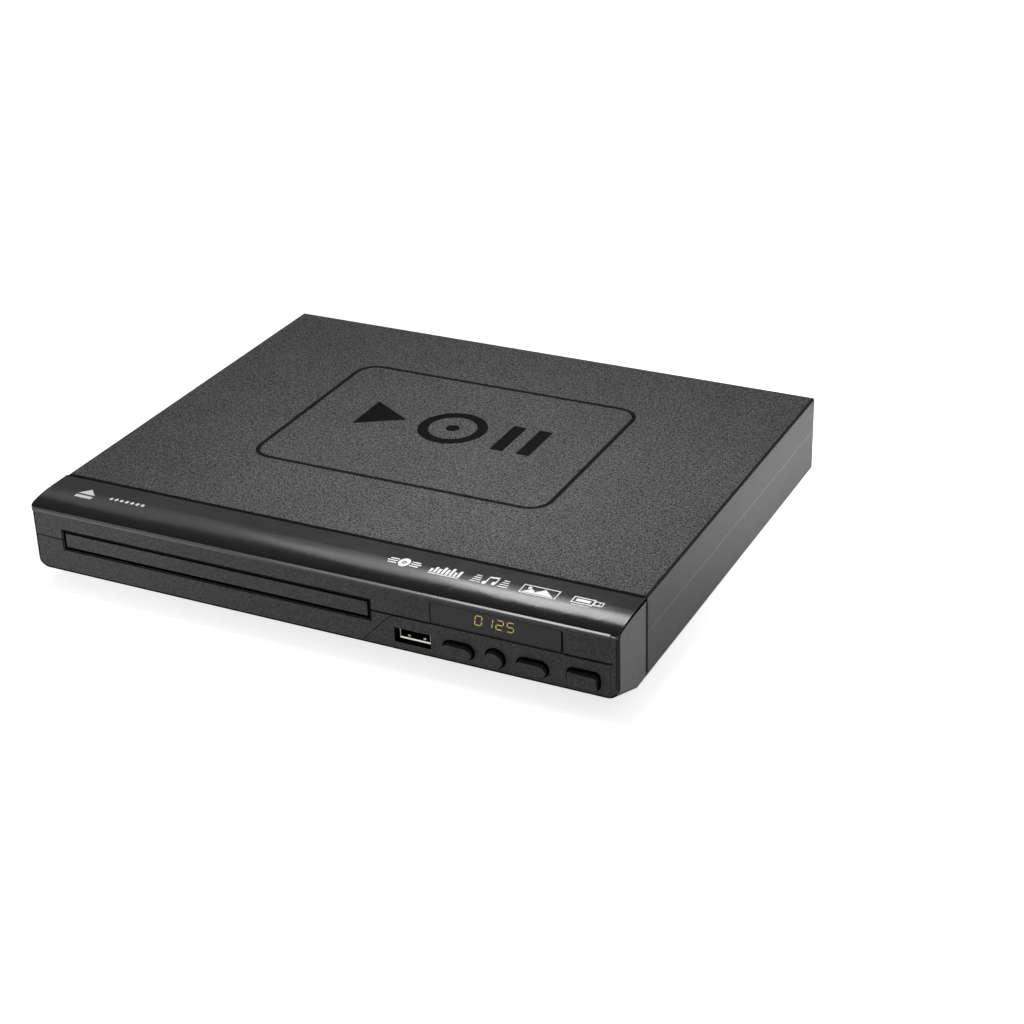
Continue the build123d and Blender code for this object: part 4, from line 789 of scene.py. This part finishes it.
def stand_by():
    """Open ring with a bar in its gap."""
    open_ring = ring(0, -0.15, outer=1.5, inner=1.05, start=125, sweep=290)
    return open_ring + plate(0, 0.9, width=0.45, height=1.8)


def screen():
    """Screen on a foot."""
    return border(0, 0, width=4.4, height=2.8, line=0.4) + plate(0, -2.0, width=2.4, height=0.45)


def wide_plug():
    """Wide plug with a narrower lower edge."""
    return border(0, 0.3, width=5.0, height=1.6, line=0.4) + plate(0, -0.8, width=3.4, height=0.5)


def wave():
    """One turn of a wave, in two half rings."""
    outer, inner, steps = 1.25, 0.85, 20
    reach = (outer + inner) / 2
    return ring(-reach, 0, outer, inner, 0, 180, steps) + ring(reach, 0, outer, inner, 180, 180, steps)


# White signs on the hood
marks_back = 13.6  # behind the front face
mark_wide = 0.86  # scales of the signs
mark_tall = 1.1
mark_slices = 0.6
for name, x, faces in (
    ("eject_mark", -109.6, eject_arrow(width=9.2, foot=-0.5, tip=3.3, bar_middle=-2.3, bar_height=1.7)),
    ("dot_mark", -90.4, dots(count=7, pitch=2.9, radius=0.9)),
    ("disc_mark", 34.6, spinning_disc()),
    ("level_mark", 52.2, level_bars()),
    ("note_mark", 70.6, notes()),
    ("picture_mark", 90.3, landscape()),
    ("stick_mark", 109.2, memory_stick()),
):
    faces = [[(u * mark_wide, v * mark_tall) for u, v in face] for face in faces]
    draw(name, faces, on_hood(x, FRONT_Y + marks_back), WHITE_INK, "case", mark_slices)

# Faint signs on the buttons, and crescents of painted shadow along their edges
sign_drop = 0.4
edge_inset = 0.05
edge_depth = 1.3
round_short = 0.01  # of a full half circle
capsule = (CAPSULE_WIDTH, CAPSULE_HEIGHT, CAPSULE_HEIGHT / 2 - round_short)
circle = (ROUND_DIAMETER, ROUND_DIAMETER, ROUND_DIAMETER / 2 - round_short)
for use, shape, faces in (
    ("open_close", capsule, eject_arrow(width=2.8, foot=-0.1, tip=1.4, bar_middle=-0.9, bar_height=0.6)),
    ("play_pause", circle, play_pause()),
    ("stop", capsule, plate(0, 0, width=2.2, height=2.2)),
    ("power", (POWER_WIDTH, POWER_HEIGHT, POWER_RADIUS), stand_by()),
):
    name = use + "_button"
    button = middle(name)
    sign_place = on_front(button.x, button.z - sign_drop, BUTTON_Y)
    draw(use + "_sign", faces, sign_place, FAINT_INK, name)
    edge = crescent(*shape, edge_inset, edge_depth)
    draw(use + "_edge", edge, on_front(button.x, button.z, BUTTON_Y), LINE, name)

# Faint signs on the front: a memory stick over the socket, rising bars beside the window
shell_low, shell_high = box("usb_shell")
shell = middle("usb_shell")
stick_rise = 4.2  # above the middle of the door
level_rise = 2.6
level_side = 13.9  # from the right end
stick_place = on_front(shell.x, SPLIT_Z + stick_rise, FRONT_Y)
level_place = on_front(SIDE_X - level_side, SPLIT_Z + level_rise, FRONT_Y)
draw("socket_sign", small_stick(), stick_place, FAINT_INK, "case")
draw("level_sign", rising_bars(), level_place, FAINT_INK, "case")

# Painted shadow: dark band in the cover's groove
groove = rounded_frame(FIELD_WIDTH - 2 * INLAY_GAP, FIELD_DEPTH - 2 * INLAY_GAP, FIELD_RADIUS - INLAY_GAP,
                       GROOVE_WIDTH - 2 * INLAY_GAP)
groove_place = on_top(-FIELD_SHIFT, FRONT_Y + FIELD_MIDDLE, TOP_Z - SUNK)
draw("groove_line", groove, groove_place, GROOVE_LINE, "case")

# Inlays of the cover's emblem: a ring round a hub, an arrow and two bars
arrow_half = ARROW_LENGTH / 2 - 2 * INLAY_GAP
arrow_rise = EMBLEM_HEIGHT / 2 - 2 * INLAY_GAP
arrow_tail = -EMBLEM_SPREAD - arrow_half
arrow_tip = -EMBLEM_SPREAD + arrow_half
pause_size = (PAUSE_BAR - 2 * INLAY_GAP, EMBLEM_HEIGHT - 2 * INLAY_GAP)
emblem = ring(0, 0, EMBLEM_RADIUS - INLAY_GAP, EMBLEM_RADIUS - EMBLEM_RING + INLAY_GAP, steps=96)
emblem += disc(0, 0, EMBLEM_HUB - INLAY_GAP)
emblem += [[(arrow_tail, -arrow_rise), (arrow_tip, 0), (arrow_tail, arrow_rise)]]
for side in (-1, 1):
    emblem += plate(EMBLEM_SPREAD + side * PAUSE_PITCH / 2, 0, *pause_size)
emblem_place = on_top(-FIELD_SHIFT, FRONT_Y + EMBLEM_MIDDLE, TOP_Z - SUNK)
draw("emblem_inlay", emblem, emblem_place, INLAY, "case")

# Joint between the front and the case, darkened with painted shadow
seam_y = SEAM_Y + 0.35
seam_width = 1.9
seam_end = 1.0  # left free at each end of the top
seam_rise = 2.5  # left free above and below on the sides
top_seam = plate(0, 0, 2 * (SIDE_X - seam_end), seam_width)
draw_line("top_seam", top_seam, on_top(0, seam_y, TOP_Z + INK))
side_seam = plate(0, 0, seam_width, TOP_Z - BASE_Z - 2 * seam_rise)
for end, side in SIDES:
    draw_line(end + "_seam", side_seam, on_side(side, seam_y, (TOP_Z + BASE_Z) / 2))

# Painted shade along the lower edge of the front, turning up at its corners
corner_u = SIDE_X - BEZEL_CORNER
corner_v = FRONT_Z + BEZEL_CORNER
foot_radius = BEZEL_CORNER - 0.35
foot_turn = 58.0  # degrees
foot_line = 0.6
foot = arc(-corner_u, corner_v, foot_radius, 270 - foot_turn, foot_turn)
foot += arc(corner_u, corner_v, foot_radius, 270, foot_turn)
draw_line("front_foot", stroke(foot, foot_line), on_front(0, 0, FRONT_Y))

# Painted shade in dark lines beside the front's upright corners
corner_inset = 1.15
corner_line = 0.3
corner_top = LIP_Z - 0.5
for end, side in SIDES:
    faces = plate(side * (SIDE_X - corner_inset), 0, corner_line, corner_top - corner_v)
    draw_line(end + "_corner_front", faces, on_front(0, (corner_top + corner_v) / 2, FRONT_Y))

# Painted highlight: a pale line along the joint between the cover and the bottom case
joint_highlight_line = 0.34
joint_highlight_z = SPLIT_Z - 0.15
joint_highlight = bar(BODY_Y, REAR_Y, 0, joint_highlight_line)
for end, side in SIDES:
    draw(end + "_joint_highlight", joint_highlight, on_side(side, 0, joint_highlight_z), JOINT_HIGHLIGHT, "case")

# Walls of the tray slot painted black as shade, and painted shadow in a dark edge round it
slot_room = 0.98  # round the door
slot_depth = 2.4
slot_line = 0.7
slot_shift = 0.15  # of the edge, to the left and down
edge_beside = 0.75  # outside the slot
edge_above = 0.65
slot_width = door_high.x - door_low.x + 2 * slot_room
slot_height = door_high.z - door_low.z + 2 * slot_room
walls("slot_wall_shade", slot_width, slot_height, slot_depth, on_front(door.x, door.z, FRONT_Y + 2 * INK))
slot_edge_shade = border(-slot_shift, -slot_shift, slot_width + 2 * edge_beside, slot_height + 2 * edge_above,
                   slot_line)
draw_line("slot_edge_shade", slot_edge_shade, on_front(door.x, door.z, FRONT_Y))

# Walls of the memory socket's cut-out and the lining of its shell, painted black as shade
socket_depth = 2.25
lining_inset = 0.4
lining_depth = 8.0
lining_back = 0.45
lining_width = shell_high.x - shell_low.x - 2 * lining_inset
lining_height = shell_high.z - shell_low.z - 2 * lining_inset
walls("socket_wall_shade", SOCKET_CUT_WIDTH - 2 * WALL_GAP, SOCKET_CUT_HEIGHT - 2 * WALL_GAP, socket_depth,
      on_front(shell.x, FRONT_Z + SOCKET_RISE, FRONT_Y + 2 * INK))
walls("socket_lining_shade", lining_width, lining_height, lining_depth,
      on_front(shell.x, shell.z, shell_low.y + lining_back))

# Rolled lower lip of the socket's shell
roll_front = shell_low.y - 0.22
roll_top_front = shell_low.y - 0.04
roll_top = shell_low.z + 0.55
roll_end = 0.1
roll = [(roll_front, shell_low.z), (roll_top_front, roll_top), (shell_low.y, roll_top),
        (shell_low.y, shell_low.z)]
ridge("socket_lip", roll, shell_low.x + roll_end, shell_high.x - roll_end, NICKEL)

# Two springs in the shell, with turned up noses
nose_front = shell_low.y + 1.0
nose_tip = shell_low.y + 1.2
nose_back = shell_low.y + 1.5
nose_foot = shell_low.z + 0.35
nose_top = shell_low.z + 0.95
spring_spread = 3.3
spring_half = 0.5
nose = [(nose_front, nose_foot), (nose_tip, nose_top), (nose_back, nose_foot)]
for end, side in SIDES:
    spring_x = shell.x + side * spring_spread
    ridge(end + "_spring", nose, spring_x - spring_half, spring_x + spring_half, NICKEL)

# Pale signs over the rear sockets, and a frame round the phono sockets
jack_rise = 8.0
plug_rise = 6.5
inlet_rise = 10.0
frame_rise = 2.2
channel_pitch = 2.6
channel_dot = 0.8
for name, socket, rise, faces in (
    ("screen_sign", "video_jack_insert", jack_rise, screen()),
    ("first_channel_sign", "left_jack_insert", jack_rise, dots(1, channel_pitch, channel_dot)),
    ("second_channel_sign", "right_jack_insert", jack_rise, dots(2, channel_pitch, channel_dot)),
    ("plug_sign", "hdmi_shell", plug_rise, wide_plug()),
    ("wave_sign", "mains_inlet", inlet_rise, wave()),
):
    place = middle(socket)
    draw(name, faces, on_back(place.x, place.z + rise), PALE_INK, "case")
jacks = middle("jack_barrels")
jack_frame = rounded_frame(width=46.0, height=21.0, radius=2.5, line=0.35)
draw("jack_frame", jack_frame, on_back(jacks.x, jacks.z + frame_rise), PALE_INK, "case")

# Blank rating plate underneath, with ruled lines
label_x = -30.0
label_y = 30.0
label_width = 62.0
label_depth = 34.0
label_margin = 2.0
label_line = 0.4
row_count = 4
row_line = 0.3
row_width = 57.0
row_pitch = 5.0
first_row = 7.5
label = plate(0, 0, label_width, label_depth)
draw("rating_plate", label, on_under(label_x, label_y, BASE_Z), PLATE, "case")
rows = border(0, 0, label_width - 2 * label_margin, label_depth - 2 * label_margin, label_line)
for n in range(row_count):
    rows += plate(0, first_row - n * row_pitch, row_width, row_line)
rows += plate(-8.0, -2.5, width=row_line, height=25.0)
draw_line("rating_lines", rows, on_under(label_x, label_y, BASE_Z - INK))

# Painted shade standing for the cross recesses of the screws underneath
screw_low, screw_high = box("case_screws")
head = SCREW_HEAD / 2
cross_length = 3.2
cross_line = 0.8
cross_arm = (cross_length - cross_line) / 2
cross = plate(0, 0, cross_length, cross_line)
for side in (-1, 1):
    cross += plate(0, side * (cross_line + cross_arm) / 2, cross_line, cross_arm)
for row, y in (("front", screw_low.y + head), ("rear", screw_high.y - head)):
    for end, x in (("left", screw_low.x + head), ("right", screw_high.x - head)):
        draw_line(row + "_" + end + "_cross", cross, on_under(x, y, screw_low.z))


# Studio, in metres

def studio_white():
    """Pale paper that the camera and reflections see as white, and that keeps the object's shadow."""
    look = bpy.data.materials.new("studio_white")
    look.use_nodes = True
    tree = look.node_tree
    tree.nodes.clear()
    path = node(tree, "ShaderNodeLightPath")
    seen = maths(tree, "MAXIMUM", path.outputs["Is Camera Ray"], path.outputs["Is Glossy Ray"])
    seen = maths(tree, "MAXIMUM", seen, path.outputs["Is Transmission Ray"])
    strength = maths(tree, "MULTIPLY", seen, 0.75)
    paper = node(tree, "ShaderNodeBsdfDiffuse", {"Color": grey(0.8)})
    shine = node(tree, "ShaderNodeEmission", {"Color": grey(1.0), "Strength": strength})
    both = node(tree, "ShaderNodeAddShader", {0: paper.outputs[0], 1: shine.outputs[0]})
    node(tree, "ShaderNodeOutputMaterial", {"Surface": both.outputs[0]})
    return look


def studio_floor():
    """Floor that turns up into a low wall far away."""
    inner_rings, flat, wall_bend, wall_top, steps = (1.0, 3.0), 5.5, 2.0, 2.2, 64
    profile = [(r, 0.0) for r in inner_rings]
    profile += arc(flat, wall_bend, wall_bend, -90, 90, steps=9)
    profile += [(flat + wall_bend, wall_top)]
    turns = [2 * math.pi * n / steps for n in range(steps)]
    bm = bmesh.new()
    rings = [[bm.verts.new((r * math.cos(t), r * math.sin(t), z)) for t in turns] for r, z in profile]
    bm.faces.new(rings[0])
    for inner, outer in zip(rings, rings[1:]):
        for face in band(closed(inner), closed(outer)):
            bm.faces.new(face)
    mesh = bpy.data.meshes.new("studio_floor")
    bm.to_mesh(mesh)
    bm.free()
    for face in mesh.polygons:
        face.use_smooth = True
    made = bpy.data.objects.new("studio_floor", mesh)
    scene.collection.objects.link(made)
    made.data.materials.append(studio_white())


def soft_light(name, place, target, size, watts, gloss_too=True):
    """Rectangular soft box at a place, facing a target."""
    data = bpy.data.lights.new(name, "AREA")
    data.shape = "RECTANGLE"
    data.size, data.size_y = size
    data.energy = watts
    made = bpy.data.objects.new(name, data)
    scene.collection.objects.link(made)
    made.location = place
    made.rotation_euler = (Vector(place) - Vector(target)).to_track_quat("Z", "Y").to_euler()
    made.visible_camera = False
    made.visible_glossy = gloss_too


studio_floor()
hood_front = (0.0, -0.1, 0.035)
soft_light("back_box", place=(-0.380, 0.762, 0.895), target=hood_front, size=(0.20, 0.26), watts=1.65)
soft_light("back_box_left", place=(-0.562, 0.738, 0.836), target=hood_front, size=(0.17, 0.26), watts=0.34)
soft_light("back_box_end", place=(-0.785, 0.697, 0.776), target=hood_front, size=(0.28, 0.26), watts=0.16)
soft_light("top_box", place=(0.045, -0.045, 0.215), target=(0.045, -0.045, 0.037), size=(0.13, 0.13),
           watts=0.41, gloss_too=False)
soft_light("front_box", place=(-0.20, -0.29, 0.03), target=(-0.05, -0.109, 0.02), size=(0.12, 0.05),
           watts=0.29)
soft_light("side_box", place=(0.235, 0.13, 0.034), target=(0.235, 0.13, 0.0), size=(0.16, 0.24), watts=0.48)

world = bpy.data.worlds.new("studio_world")
world.use_nodes = True
wire(world.node_tree, world.node_tree.nodes["Background"], Color=grey(1.0), Strength=0.28)
scene.world = world
scene.view_settings.view_transform = "Standard"

# Camera at the photograph's viewing angle
image_pixels = 1024.0
focal_pixels = 2117.876
sensor_mm = 36.0
eye_mm = (381.538, FRONT_Y - 585.433, 417.454)
camera_angles = (62.4202, 1.5514, 25.9064)  # degrees about X, Y and Z
camera = bpy.data.cameras.new("camera")
camera.sensor_fit = "HORIZONTAL"
camera.sensor_width = sensor_mm
camera.lens = focal_pixels * sensor_mm / image_pixels
camera.clip_start = 0.01
camera.clip_end = 60.0
viewer = bpy.data.objects.new("camera", camera)
scene.collection.objects.link(viewer)
turned = Euler([math.radians(angle) for angle in camera_angles])
viewer.matrix_world = Matrix.LocRotScale(Vector(eye_mm) * MM, turned, None)
scene.camera = viewer
